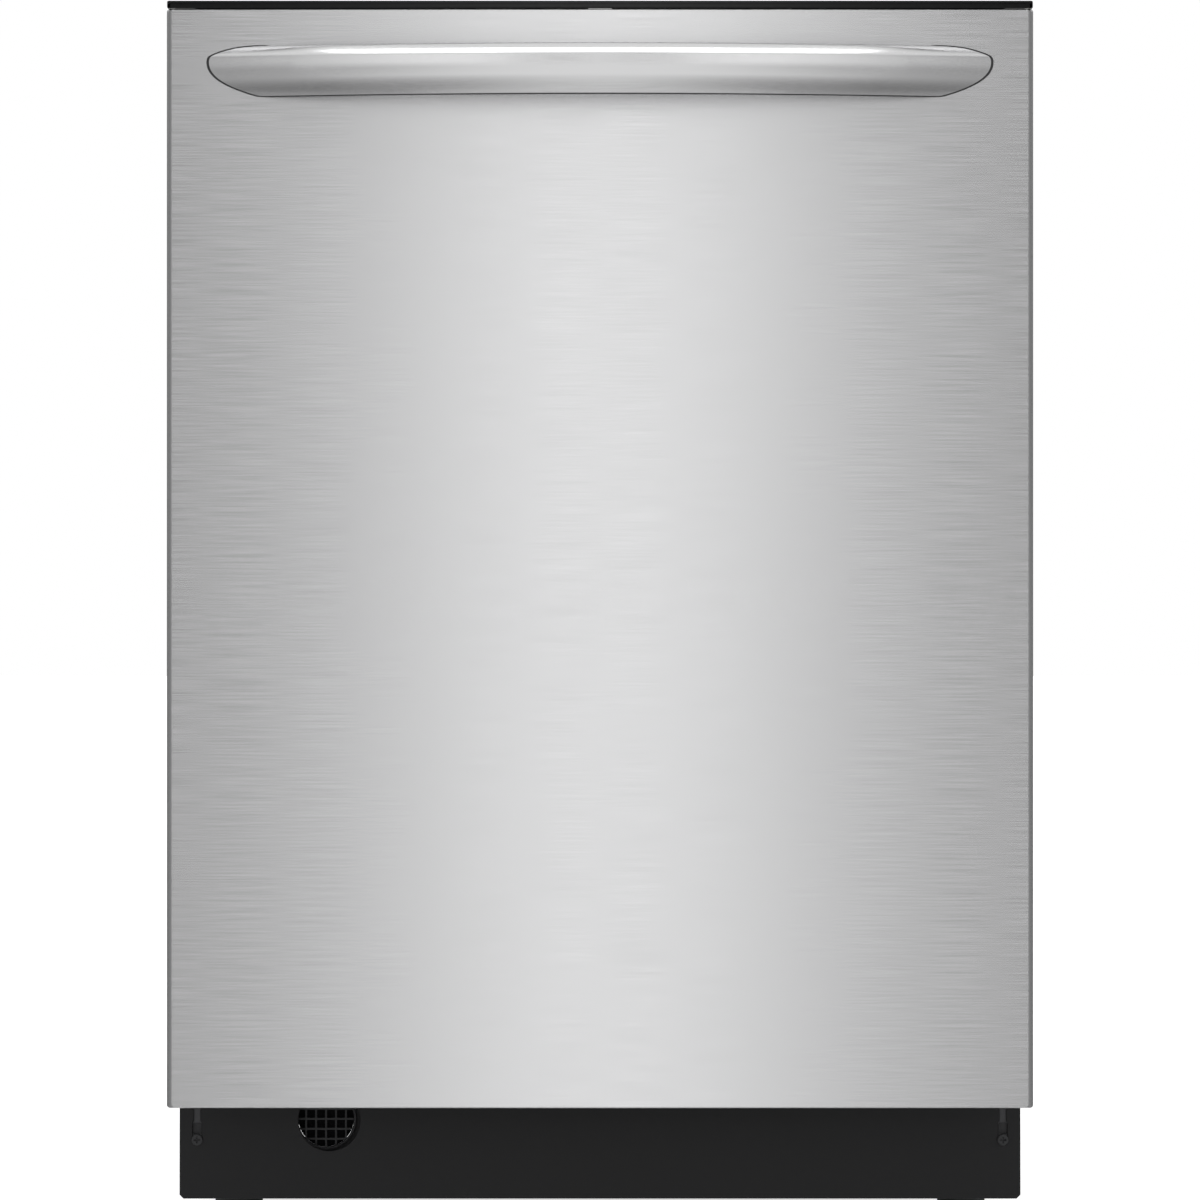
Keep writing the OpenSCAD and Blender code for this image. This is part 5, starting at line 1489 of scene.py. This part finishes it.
def build_liner():
    bm = bmesh.new()
    centre = (-LINER_BEND, LINER_V - LINER_BEND)
    section = [(0, 24.3)] + arc(centre, LINER_BEND, 0, 90, 5)
    section += [(-6.5, LINER_V), (-6.5, LINER_V - SHEET)]
    section += arc(centre, LINER_BEND - SHEET, 90, 0, 5) + [(-SHEET, 24.3)]
    add_loft(bm, [[spot(a + out * x, v, -(b + out * y)) for out, v in section]
                  for a, b, x, y in u_path(LINER_X, -LINER_LOW, -LINER_HIGH, 14)])
    face = slot_shape(0, (LINER_LOW + LINER_HIGH) / 2 + 2.5, LINER_X - LINER_BEND - 0.1,
                      (LINER_HIGH - LINER_LOW) / 2 - 2.6, 9)
    opening = slot_shape(0, DISPENSER_Z, 90, 65, 6)
    hook = slot_shape(0, (LINER_HIGH + 810) / 2 - 1.5, 8, (LINER_HIGH - 810) / 2 - 2.5, 2.5, 4)
    add_plate(bm, face, [opening, hook], facing(LINER_V + 0.02, -1),
              SHEET, 0.02, 1)
    for heights in ((170, 222), (234, 286), (298, 350), (362, 414)):
        add_pad(bm, facing(LINER_V), (-236, 236), heights, 2.2, 20)
    for side in (-1, 1):
        add_pressing(bm, lambda a, b, up: spot(side * 181 + a, LINER_V + up, DISPENSER_Z + b),
                     55, 93, 2.2, 20)
        add_pressing(bm, lambda a, b, up: spot(side * 138 + a, LINER_V + up, 716 + b), 98, 58, 2.2, 20)
    return finish_mesh(bm, "pressed_liner", tub_steel, "door", ["door_inner_liner"], smooth=40)


def build_door_pad():
    bm = bmesh.new()
    (_, _, low), (width, _, high) = box_mm("door_insulation")
    bottom, width = low + 0.6, width - 0.6
    height = high - 0.6 - bottom
    add_quilt(bm, 2 * width, height, lambda a, b, up: spot(a - width, 1.9 + up, bottom + b), 35.6, 128)
    return finish_mesh(bm, "door_felt_pad", door_felt, "door", ["door_insulation"], smooth=60)


build_liner()
door_felt_pad = build_door_pad()
print("liner pressed")

# %% Mould the dispenser
FACE_V = 69.5
CAP_X, CAP_Z = -45.0, 576.0
CUP_Z = 513.0


def add_tray(bm, shape, rim_v, floor_v, wall=1.4):
    """A cup let into the door: shape is its opening, and it narrows a little to its floor."""
    levels = [(-6, floor_v), (-2.4, floor_v), (-1.6, floor_v + 0.8), (0, rim_v), (wall, rim_v),
              (wall - 1.2, floor_v - 0.6), (-2.4, floor_v - wall), (-6, floor_v - wall)]
    add_loft(bm, [[spot(a, v, b) for a, b in shape(grow)] for grow, v in levels])


def build_dispenser():
    bm = bmesh.new()
    outer = slot_shape(0, DISPENSER_Z, 94, 69, 12)
    cup = slot_shape(-43, CUP_Z, 39, 35, 6)
    well = round_shape(CAP_X, CAP_Z, 10, 8)
    recess = slot_shape(48, DISPENSER_Z, 38, 57, 10)
    add_plate(bm, outer, [cup, well, recess], facing(FACE_V, -1), 1.6, 0.7)
    add_tray(bm, slot_shape(-43, CUP_Z, 38.8, 34.8, 6), FACE_V - 0.9, 47.4)
    add_tray(bm, slot_shape(48, DISPENSER_Z, 37.8, 56.8, 10), FACE_V - 0.9, 56.0)
    add_turned_ring(bm, spot(CAP_X, 61.6, CAP_Z), (0, 1, 0),
                    ((0, 9.9), (7.2, 9.9), (7.2, 11.4), (0, 11.4)))
    # The rail that the lid slides on, the catch that holds it, and four mounting screws
    for z in (475.6, 550.4):
        add_box(bm, (-86, FACE_V - 0.4, z - 0.9), (80, FACE_V + 0.2, z + 0.9), 0.25)
    catch = slot_shape(28, CUP_Z, 9, 13, 4)
    add_loft(bm, [[spot(a, v, b) for a, b in catch(grow)]
                  for grow, v in ((0, 57.3), (0, 64.6), (-0.6, 65.6), (-2, 66.2), (-6, 66.4))])
    for k in range(5):
        z = 492 + 21.5 * k
        add_box(bm, (56, 56.8, z - 1.1), (82, 62.4, z + 1.1), 0.7)
    for x in (-88, 88):
        for z in (472.5, 597.5):
            add_turned(bm, spot(x, FACE_V - 0.3, z), (0, 1, 0),
                       [(0, 2.6), (0.3, 2.5), (0.6, 1.9), (0.7, 0.6), (0.5, 0.3)], 18)
    return finish_mesh(bm, "dispenser_moulding", dispenser_grey, "door", ["dispenser_body"], smooth=40)


def build_lid():
    bm = bmesh.new()
    shape = slot_shape(-44, CUP_Z, 41, 38, 6)
    add_plate(bm, shape, [], facing(71.8, -1), 2.0, 0.8, 4)
    add_pressing(bm, lambda a, b, up: spot(-52 + a, 71.75 + up, CUP_Z + b), 27, 28, 0.5, 8)
    ridge = [(-16, 71.5), (-15.6, 73.8), (-14.6, 75.2), (-13.4, 75.5), (-12, 74.8), (-10.8, 73), (-10, 71.5)]
    ends = ((490, 0.72), (491, 0.9), (493, 1.0), (533, 1.0), (535, 0.9), (536, 0.72))
    add_loft(bm, [[spot(-13 + (x + 13) * grow, 71.5 + (v - 71.5) * grow, z) for x, v in ridge]
                  for z, grow in ends])
    return finish_mesh(bm, "sliding_lid", dispenser_grey, "dispenser_lid", ["dispenser_lid"], smooth=40)


def build_cap():
    bm = bmesh.new()
    profile = [(0, 8.4), (0.8, 9.6), (6.2, 9.7), (6.3, 13.4), (6.6, 14), (8.2, 14), (8.8, 13.6), (9, 12.6),
               (9, 9.5), (8.6, 9), (8.5, 0.6)]
    add_turned(bm, spot(CAP_X, 63.5, CAP_Z), (0, 1, 0), profile, 48)
    for k in range(20):
        turn = 2 * math.pi * (k + 0.5) / 20
        add_turned(bm, spot(CAP_X + 13.55 * math.cos(turn), 70, CAP_Z + 13.55 * math.sin(turn)),
                   (0, 1, 0), [(0, 0.5), (0.3, 0.8), (1.8, 0.8), (2.2, 0.4)], 8)
    grip = [(-1.5, 71.6), (-1.4, 75.2), (-0.9, 76.2), (0, 76.5), (0.9, 76.2), (1.4, 75.2), (1.5, 71.6)]
    ends = ((-12, 0.2), (-11.6, 0.7), (-10.6, 0.94), (-9, 1), (9, 1), (10.6, 0.94), (11.6, 0.7), (12, 0.2))
    add_loft(bm, [[spot(CAP_X + x, 71.6 + (v - 71.6) * grow, CAP_Z + z) for z, v in grip]
                  for x, grow in ends])
    return finish_mesh(bm, "rinse_cap", cap_blue, "rinse_aid_cap", ["rinse_aid_cap"], smooth=40)


build_dispenser()
build_lid()
build_cap()
print("dispenser moulded")

# %% [markdown]
# The wash system sits in and under the tub's floor: a fine filter with its cup, the heater
# loop, a float that stops an overfill, the pumps and the inlet valve. Turned profiles suit
# nearly all of it, since the real ones are moulded or spun round parts.

# %% Fit the filter, heater and spray posts
def turn_up(bm, x, v, z, profile, count=40):
    """A turned shape on an upright axis, from (height, radius) in mm."""
    add_turned(bm, spot(x, v, z), (0, 0, 1), profile, count)


def turn_across(bm, x, v, z, profile, count=40):
    """A turned shape on an axis along X, from (distance, radius) in mm."""
    add_turned(bm, spot(x, v, z), (1, 0, 0), profile, count)


FILTER_X = 58.0


def build_filter_plate():
    bm = bmesh.new()
    outer = round_shape(0, WASH_V, 103.7, 20)
    holes = [round_shape(FILTER_X, WASH_V, 38.3, 14), round_shape(0, WASH_V, 4, 4)]
    for radius, count in ((24, 8), (38, 14), (52, 20), (66, 24), (80, 30), (93, 36)):
        for x, y in around(count, radius, 0.0 if count % 4 else math.pi / count):
            if math.hypot(x - FILTER_X, y) > 43:
                holes.append(round_shape(x, WASH_V + y, 2.1, 2))
    add_plate(bm, outer, holes, lying(FLOOR_Z + 0.8, -1), 1.9, 0.3, 2)
    return finish_mesh(bm, "fine_filter", tub_steel, "cabinet", ["filter_plate"], smooth=40)


def build_filter_cup():
    bm = bmesh.new()
    profile = [(96, 0.2), (96, 33), (97, 36), (100, 37.4), (140, 37.8), (142, 38), (143, 37.4), (143, 36.4),
               (141.5, 35.8), (100, 35.4), (98, 34), (98, 0.2)]
    turn_up(bm, FILTER_X, WASH_V, 0, profile, 48)
    for x, y in around(24, 37.4):
        turn_up(bm, FILTER_X + x, WASH_V + y, 0, [(101, 0.3), (102, 0.55), (138, 0.55), (139, 0.3)], 6)
    handle = [(-37, 134), (-37, 142), (-30, 149), (-22, 152.6), (-12, 154), (12, 154), (22, 152.6), (30, 149),
              (37, 142), (37, 134), (33, 134), (30, 141), (22, 147), (12, 149), (-12, 149), (-22, 147),
              (-30, 141), (-33, 134)]
    add_loft(bm, [[spot(FILTER_X + x, WASH_V + v, z - 0.3 * abs(v) + 0.3) for x, z in handle]
                  for v in (-3, -2.4, 2.4, 3)])
    return finish_mesh(bm, "round_filter_cup", grey_plastic, "filter_cup", ["filter_cup"], smooth=40)


def build_float():
    bm = bmesh.new()
    profile = [(116.8, 1.0), (117.6, 3.4), (118.4, 4), (140.2, 4), (140.3, 17.5), (141.5, 19.6), (143, 20),
               (152, 19.4), (156, 17.6), (158.6, 13.5), (159.8, 8), (160, 0.4)]
    turn_up(bm, FLOAT_X, FLOAT_V, 0, profile)
    return finish_mesh(bm, "overfill_float", white_plastic, "float", ["float"], smooth=50)


def build_heater():
    bm = bmesh.new()
    start = math.asin(HEATER_LEG / HEATER_R)
    turns = [start + (2 * math.pi - 2 * start) * k / 72 for k in range(1, 72)]
    line = [spot(HEATER_LEG, LEG_V, 114.3), spot(HEATER_LEG, LEG_V, HEATER_Z - 5)]
    line += [spot(HEATER_R * math.sin(t), WASH_V + HEATER_R * math.cos(t), HEATER_Z) for t in turns]
    line += [spot(-HEATER_LEG, LEG_V, HEATER_Z - 5), spot(-HEATER_LEG, LEG_V, 114.3)]
    add_tube(bm, bent(line, 5, 3), 3.9, 12)
    nut = [(140.1, 4), (140.1, 9.4), (140.6, 10), (142.6, 10), (143.2, 9.4), (143.6, 4)]
    for x in (-HEATER_LEG, HEATER_LEG):
        turn_up(bm, x, LEG_V, 0, nut, 6)
        turn_up(bm, x, LEG_V, 0, [(110, 1.2), (110.4, 1.6), (115, 1.6), (115.2, 1.2)], 12)
    return finish_mesh(bm, "heater_loop", heater_steel, "cabinet", ["heating_element"], smooth=50)


def build_post():
    bm = bmesh.new()
    top, arm_z = box_mm("spray_arm_post")[1][2], box_mm("lower_spray_arm")[0][2]
    profile = [(140.8, 14), (141.6, 14), (150, 13), (160, 12.6), (arm_z - 1.6, 13.4), (arm_z - 0.5, 14),
               (arm_z - 0.3, 13.6), (arm_z - 0.3, 8), (arm_z + 12.3, 8), (arm_z + 12.3, 11.4),
               (arm_z + 13, 12), (arm_z + 15.6, 12), (arm_z + 16.6, 10.4), (top, 6.5)]
    turn_up(bm, 0, WASH_V, 0, profile)
    return finish_mesh(bm, "arm_post", sump_plastic, "cabinet", ["spray_arm_post"], smooth=40)


def build_top_head():
    bm = bmesh.new()
    (_, _, base), (_, _, top) = box_mm("top_spray_head")
    rise = [(1.6, 0.4), (0.4, 6), (0, 14), (0.6, 25), (2.4, 32), (4, 34), (5.4, 33), (6.6, 26), (7.6, 15),
            (9, 12), (top - base, 12)]
    turn_up(bm, 0, WASH_V, base, rise, 48)
    for x, y in around(6, 24):
        turn_up(bm, x, WASH_V + y, base, [(2.2, 4), (0.4, 3.6), (0.02, 2.6), (1.4, 1.6), (2.6, 1.5)], 14)
    return finish_mesh(bm, "ceiling_spray_head", grey_plastic, "cabinet", ["top_spray_head"], smooth=45)


def build_duct():
    bm = bmesh.new()
    (_, foot_v, _), (_, duct_v, top) = box_mm("feed_tube")
    foot_v, duct_v, top = foot_v + 2, duct_v - 5, top - 5
    line = [(duct_v - 140, 143.4, 2.4), (duct_v - 24, 143.4, 2.4), (duct_v - 8, 144.6, 3.4),
            (duct_v - 1.4, 151, 4.6), (duct_v, 160, 5)]
    line += [(duct_v, 470, 5), (duct_v, 496, 5), (duct_v, top - 30, 5), (duct_v - 2, top - 12, 5),
             (duct_v - 12, top - 2, 5), (duct_v - 30, top, 5), (foot_v + 6, top, 5), (foot_v, top, 4)]
    rings = []
    for k, (v, z, thick) in enumerate(line):
        before, after = line[max(k - 1, 0)], line[min(k + 1, len(line) - 1)]
        along = Vector((0, after[0] - before[0], after[1] - before[1])).normalized()
        out = Vector((0, -along.z, along.y))
        rings.append([spot(a, v + out.y * b, z + out.z * b)
                      for a, b in rounded_outline(15, thick, thick * 0.8, 4)])
    add_loft(bm, rings)
    for z in (230, 400, 640, 760):
        add_box(bm, (-16.6, duct_v - 5.6, z - 5), (16.6, duct_v + 4.8, z + 5), 1.6, 3)
    socket = slot_shape(0, 494, 15.4, 9.4, 7)
    hole = slot_shape(0, 494, 12.8, 6.8, 5.5)
    add_plate(bm, socket, [hole], facing(duct_v - 5.4), 3.0, 0.5)
    return finish_mesh(bm, "feed_duct", grey_plastic, "cabinet", ["feed_tube"], smooth=45)


build_filter_plate()
build_filter_cup()
build_float()
build_heater()
build_post()
build_top_head()
build_duct()
print("filter, heater, float and feed duct fitted")

# %% Hang the sump, pumps and inlet valve
# The places of the wash motor's, the drain pump's, the valve's and the mains box's axes
MOTOR_Z = 92.0
DRAIN_X, DRAIN_Z = -120.0, 66.0
VALVE_X = -205.0
MAINS_X = 215.0


def build_sump():
    bm = bmesh.new()
    profile = [(88, 0.3), (88, 82), (90, 94), (95, 102), (103, 105.4), (134.8, 106), (134.8, 115.2),
               (135.4, 116), (138.2, 116), (138.7, 115.4), (138.7, 103.4), (104, 102.6), (97, 99), (92.4, 90),
               (91, 80), (91, 0.3)]
    turn_up(bm, 0, WASH_V, 0, profile, 64)
    for k in range(12):
        turn = math.radians(30 * k + 15)
        out = Vector((math.cos(turn), math.sin(turn), 0))
        across = Vector((-out.y, out.x, 0)) * (1.1 * MM)
        rings = [[spot(0, WASH_V, z) + out * (r * MM) - across, spot(0, WASH_V, z) + out * (r * MM) + across]
                 for r, z in ((104, 134.9), (114, 134.9), (107, 112), (104, 104))]
        add_loft(bm, [[a, b] for a, b in rings], closed=False, cap=False)
        turn_up(bm, 111 * math.cos(turn + 0.26), WASH_V + 111 * math.sin(turn + 0.26), 0,
                [(131.6, 2.6), (131.9, 3.2), (134.9, 3.2)], 6)
    turn_across(bm, 96, WASH_V, 104, [(0, 14), (40, 14), (40.2, 15.6), (43.6, 15.6), (44, 12), (0, 12)], 32)
    return finish_mesh(bm, "sump_bowl", sump_plastic, "cabinet", ["sump"], smooth=40)


def build_wash_pump():
    bm = bmesh.new()
    volute = [(0, 15), (0.4, 26), (2, 35), (6, 39), (12, 40), (20, 39), (24, 36), (26, 33)]
    turn_across(bm, 140.3, WASH_V, MOTOR_Z, volute + [(26.4, 20)], 48)
    motor = [(0, 20), (0, 31.4), (1.2, 33), (5, 33), (5.4, 31.6), (60, 31.6), (60.4, 33), (64, 33), (66, 31),
             (66.4, 13), (67, 12), (71.6, 11.4), (72, 8), (72, 0.4)]
    turn_across(bm, 166, WASH_V, MOTOR_Z, motor, 48)
    for y, z in around(18, 32.2):
        turn_across(bm, 172.5, WASH_V + y, MOTOR_Z + z, [(0, 0.4), (0.6, 0.9), (52, 0.9), (52.6, 0.4)], 6)
    bolt = [(0, 2.6), (8, 3.4), (10.6, 3.4), (11, 2.2), (10.6, 1.2)]
    for y, z in around(5, 36.4, 0.3):
        turn_across(bm, 158, WASH_V + y, MOTOR_Z + z, bolt, 14)
    return finish_mesh(bm, "wash_pump_case", pump_paint, "cabinet", ["wash_pump"], smooth=40)


def build_drain_pump():
    bm = bmesh.new()
    v1 = box_mm("drain_pump")[1][1] - 40

    def turned(v, profile, count=40):
        add_turned(bm, spot(DRAIN_X, v, DRAIN_Z), (0, 1, 0), profile, count)

    turned(v1 - 60, [(0, 0.4), (0, 10), (0.6, 20), (2.4, 25), (5, 26), (12, 26), (12.6, 24.4), (40, 24.4),
                     (40.6, 26), (56, 26), (59, 25), (60, 22), (60, 11)])
    turned(v1 - 1, [(0, 12), (3, 9.4), (34, 8.8), (35, 9.5), (39, 9.5), (41, 8.6), (41, 7), (8, 6.6),
                    (7, 0.4)], 28)
    for x, z in around(3, 21, math.radians(20)):
        add_turned(bm, spot(DRAIN_X + x, v1 - 61, DRAIN_Z + z), (0, 1, 0), [(0, 2.6), (1, 3.2), (5, 3.2)], 6)
    pipe = [spot(-110, v1 - 40, 68), spot(-110, v1 - 40, 100), spot(-99, v1 - 40, 100)]
    add_tube(bm, bent(pipe, 7, 6), 7.9, 20)
    return finish_mesh(bm, "drain_pump_case", sump_plastic, "cabinet", ["drain_pump"], smooth=40)


def build_valve():
    bm = bmesh.new()
    v0 = box_mm("water_inlet_valve")[0][1]
    for half, low, high, bevel in ((17.6, (0.4, 56.4), (35.6, 90), 4), (10, (6, 88), (30, 112), 3)):
        add_box(bm, (VALVE_X - half, v0 + low[0], low[1]), (VALVE_X + half, v0 + high[0], high[1]), bevel, 4)
    turn_up(bm, VALVE_X, v0 + 18, 0,
            [(108, 9), (110, 12), (113, 13), (134, 13), (137.4, 12), (138.4, 9), (138.4, 0.4)])
    add_turned(bm, spot(VALVE_X, v0 + 35, 74), (0, 1, 0),
               [(0, 12.5), (5, 12.5), (5.4, 11.2), (9, 11.2), (9.4, 12.5), (24, 12.5), (25, 11.6),
                (25, 9.2), (3.4, 9), (3.2, 0.4)], 32)
    for z in (62, 86):
        for x in (VALVE_X - 14, VALVE_X + 14):
            add_turned(bm, spot(x, v0 + 0.2, z), (0, 1, 0), [(0, 1.6), (0.3, 2.8), (3, 2.8)], 12)
    return finish_mesh(bm, "inlet_valve_body", sump_plastic, "cabinet", ["water_inlet_valve"], smooth=40)


def build_junction_box():
    bm = bmesh.new()
    (_, v0, z0), (_, v1, z1) = box_mm("junction_box")
    middle = (v0 + v1) / 2
    shape = slot_shape(MAINS_X, middle, 32, (v1 - v0) / 2, 3)
    knockout = round_shape(MAINS_X, middle, 11.1, 6)
    levels = [(0, z0 + 0.8), (0, z1 - 1.4), (-1.2, z1 - 1.4), (-1.2, z0 + 1.4)]
    add_loft(bm, [[spot(a, b, z) for a, b in shape(grow)] for grow, z in levels], cap=False)
    add_plate(bm, shape, [knockout], lying(z0), 1.4, 0.4)
    add_plate(bm, shape, [], lying(z1 - 1.6), 1.6, 0.5)
    for x in (MAINS_X - 26, MAINS_X + 26):
        turn_up(bm, x, middle, z1 - 0.9, [(0, 3.4), (0.4, 3.2), (0.8, 2.2), (0.9, 0.5)], 16)
    ring = [(-0.2, 11.4), (-0.2, 13.6), (0.6, 14.2), (0.9, 13.8), (0.9, 11.4)]
    add_turned_ring(bm, spot(MAINS_X, middle, z0 + 1.2), (0, 0, 1), ring)
    return finish_mesh(bm, "mains_box", galvanised, "cabinet", ["junction_box"], smooth=40)


build_sump()
build_wash_pump()
build_drain_pump()
build_valve()
build_junction_box()
print("sump, pumps, valve and box hung")

# %% [markdown]
# What is left are small metal and plastic fittings: the latch, the control board, the rack
# rails, the clips under the worktop and the dark panel behind the toe kick. The hinge
# springs stay as they are in the model, since they stretch as the door moves.

# %% Fit the latch, board, rails and clips
LATCH_V = 54.0


def build_latch():
    _, end_v, top = box_mm("latch_hook")[1]
    z = top - 1.0
    bm = bmesh.new()
    side = [(50, -3.2), (50.6, -4), (end_v - 3, -4), (end_v - 3, -5), (end_v - 2.4, -5.5),
            (end_v - 1.6, -5.4), (end_v, -2.6), (end_v, -0.6), (end_v - 1, 0.6), (end_v - 2.4, 1),
            (51, 1), (50, 0.2)]
    add_loft(bm, [[spot(x, v, z + (b + 1.5) * grow - 1.5) for v, b in side]
                  for x, grow in ((-7, 0.9), (-6.5, 1.0), (6.5, 1.0), (7, 0.9))])
    add_turned(bm, spot(-14, LATCH_V, z), (1, 0, 0), ((0, 2.2), (0.6, 3), (27.4, 3), (28, 2.2)), 20)
    finish_mesh(bm, "steel_latch_hook", galvanised, "latch_hook", ["latch_hook"], smooth=40)
    bm = bmesh.new()
    (_, _, z0), (_, back, z1) = box_mm("latch_housing")
    outer = slot_shape(0, (38 + back) / 2, 16, (back - 38) / 2, 2.5, 4)
    well = slot_shape(0, (41 + back) / 2 - 0.6, 8, (back - 41) / 2 - 1.2, 1.2, 3)
    add_plate(bm, outer, [well], lying(z0 + 3), z1 - z0 - 3, 0.6)
    add_plate(bm, outer, [], lying(z0), 3.0, 0.6)
    for side in (-1, 1):
        ring = [(0, 3.05), (0, 5.4), (0.8, 5.8), (1.4, 5.2), (1.4, 3.05)]
        add_turned_ring(bm, spot(side * 15.6, LATCH_V, z), (side, 0, 0), ring, 24)
    finish_mesh(bm, "latch_case", black_plastic, "door", ["latch_housing"], smooth=40)
    bm = bmesh.new()
    (_, v0, z0), (_, _, z1) = box_mm("latch_strike")
    outer = slot_shape(0, (z0 + z1) / 2, 17, (z1 - z0) / 2, 4, 5)
    inner = slot_shape(0, (z0 + 3 + z1 - 2) / 2, 14, (z1 - z0 - 5) / 2, 2, 4)
    add_plate(bm, outer, [inner], facing(v0), 16.0, 0.7)
    finish_mesh(bm, "strike_loop", galvanised, "cabinet", ["latch_strike"], smooth=40)


def build_board():
    """A green board with switches, chips, capacitors, a plug and its solder side below."""
    bm = bmesh.new()
    (_, _, z), (half, _, _) = box_mm("control_board")
    outer = slot_shape(0, BUTTON_V, half, 13, 1.5, 3)
    holes = [round_shape(side * (half - 4), 24, 1.7, 4) for side in (-1, 1)]
    add_plate(bm, outer, holes, lying(z), 1.6, 0.15)
    finish_mesh(bm, "control_circuit", board_green, "door", ["control_board"], smooth=40)
    bm = bmesh.new()
    for low_b, high_b in button_boxes:
        x = (low_b.x + high_b.x) / 2 / MM
        add_box(bm, (x - 3, BUTTON_V - 3, z + 1.5), (x + 3, BUTTON_V + 3, z + 3.9), 0.4)
        turn_up(bm, x, BUTTON_V, z, [(3.8, 1.9), (4.6, 1.8), (4.8, 1.4)], 16)
    for x, v, wide, deep, tall in ((-96, 26, 9, 5, 2.2), (-50, 40, 6, 4, 1.8), (0, 26, 12, 5, 2.4),
                                   (48, 40, 7, 4, 2), (96, 26, 8, 5, 2.2)):
        add_box(bm, (x - wide, v - deep / 2, z + 1.5), (x + wide, v + deep / 2, z + 1.5 + tall), 0.5)
    for x in (-78, -72, 24, 72, 78):
        turn_up(bm, x, 26, z, [(1.5, 2.4), (1.9, 2.5), (5.4, 2.5), (5.8, 2.2), (5.8, 0.3)], 18)
    add_box(bm, (-20, 39, z - 6), (20, 45, z + 0.2), 0.9)
    finish_mesh(bm, "board_components", black_plastic, "door", smooth=40)


def build_rails():
    bm = bmesh.new()
    (_, v0, z0), (x1, v1, z1) = box_mm("rack_rails")
    x0 = 262.0
    outer = [(x0, z0 + 0.7), (x0 + 0.7, z0), (x1 - 2.2, z0), (x1 - 0.6, z0 + 0.6), (x1, z0 + 2.2),
             (x1, z1 - 2.2), (x1 - 0.6, z1 - 0.6), (x1 - 2.2, z1), (x0 + 0.7, z1), (x0, z1 - 0.7),
             (x0, z1 - 1.3), (x0 + 0.7, z1 - 2), (x1 - 2.8, z1 - 2), (x1 - 2, z1 - 2.8), (x1 - 2, z0 + 2.8),
             (x1 - 2.8, z0 + 2), (x0 + 0.7, z0 + 2), (x0, z0 + 1.3)]
    for side in (-1, 1):
        add_loft(bm, [[spot(side * x, v, z) for x, z in outer] for v in (v0, v1)])
        for v in (v0 + 20, (v0 + v1) / 2, v1 - 20):
            turn_across(bm, side * (x1 - 1.9), v, (z0 + z1) / 2,
                        [(0, 4.2), (-side * 0.5, 4), (-side * 0.9, 2.8), (-side * 1.0, 0.5)], 18)
    return finish_mesh(bm, "channel_rails", tub_steel, "cabinet", ["rack_rails"], smooth=40)


CLIP_X = 200.0


def build_worktop_clips():
    bm = bmesh.new()
    (_, v0, z0), (_, v1, z1) = box_mm("countertop_brackets")
    for side in (-1, 1):
        bend = [(v0, z0), (v0, z1 - 3), (v0 + 0.9, z1 - 0.9), (v0 + 3, z1), (v1 - 0.4, z1), (v1, z1 - 0.4),
                (v1, z1 - 1.1), (v1 - 0.4, z1 - 1.5), (v0 + 3.2, z1 - 1.5), (v0 + 1.9, z1 - 2),
                (v0 + 1.5, z1 - 3.2), (v0 + 1.5, z0)]
        front = [(v, z) for v, z in bend if v <= v0 + 3.3]
        for edge, ends in ((bend, (-20, -10)), (bend, (10, 20)), (front, (-10, 10))):
            add_loft(bm, [[spot(side * CLIP_X + x, v, z) for v, z in edge] for x in ends])
        outer = slot_shape(side * CLIP_X, (v0 + 3 + v1) / 2, 10.2, (v1 - v0 - 3) / 2, 0.3, 2)
        hole = round_shape(side * CLIP_X, v0 + 18.8, 2.4, 6)
        add_plate(bm, outer, [hole], lying(z1, -1), 1.5, 0.2)
    return finish_mesh(bm, "worktop_clips", galvanised, "cabinet", ["countertop_brackets"], smooth=40)


def build_access_panel():
    bm = bmesh.new()
    (_, front, z0), (x1, _, z1) = box_mm("access_panel")
    outer = slot_shape(0, (z0 + z1) / 2, x1, (z1 - z0) / 2, 2.5, 4)
    hole = round_shape(VENT_X, VENT_Z, VENT_R - 2.1, 14)
    add_plate(bm, outer, [hole], facing(front), 1.2, 0.3)
    for ends in ((-150, -10), (10, 240)):
        add_pad(bm, facing(front, -1), ends, (34, 78), 0.9, 10)
    return finish_mesh(bm, "service_panel", black_paint, "cabinet", ["access_panel"], smooth=40)


build_latch()
build_board()
build_rails()
build_worktop_clips()
build_access_panel()
print("latch, board, rails and clips fitted")
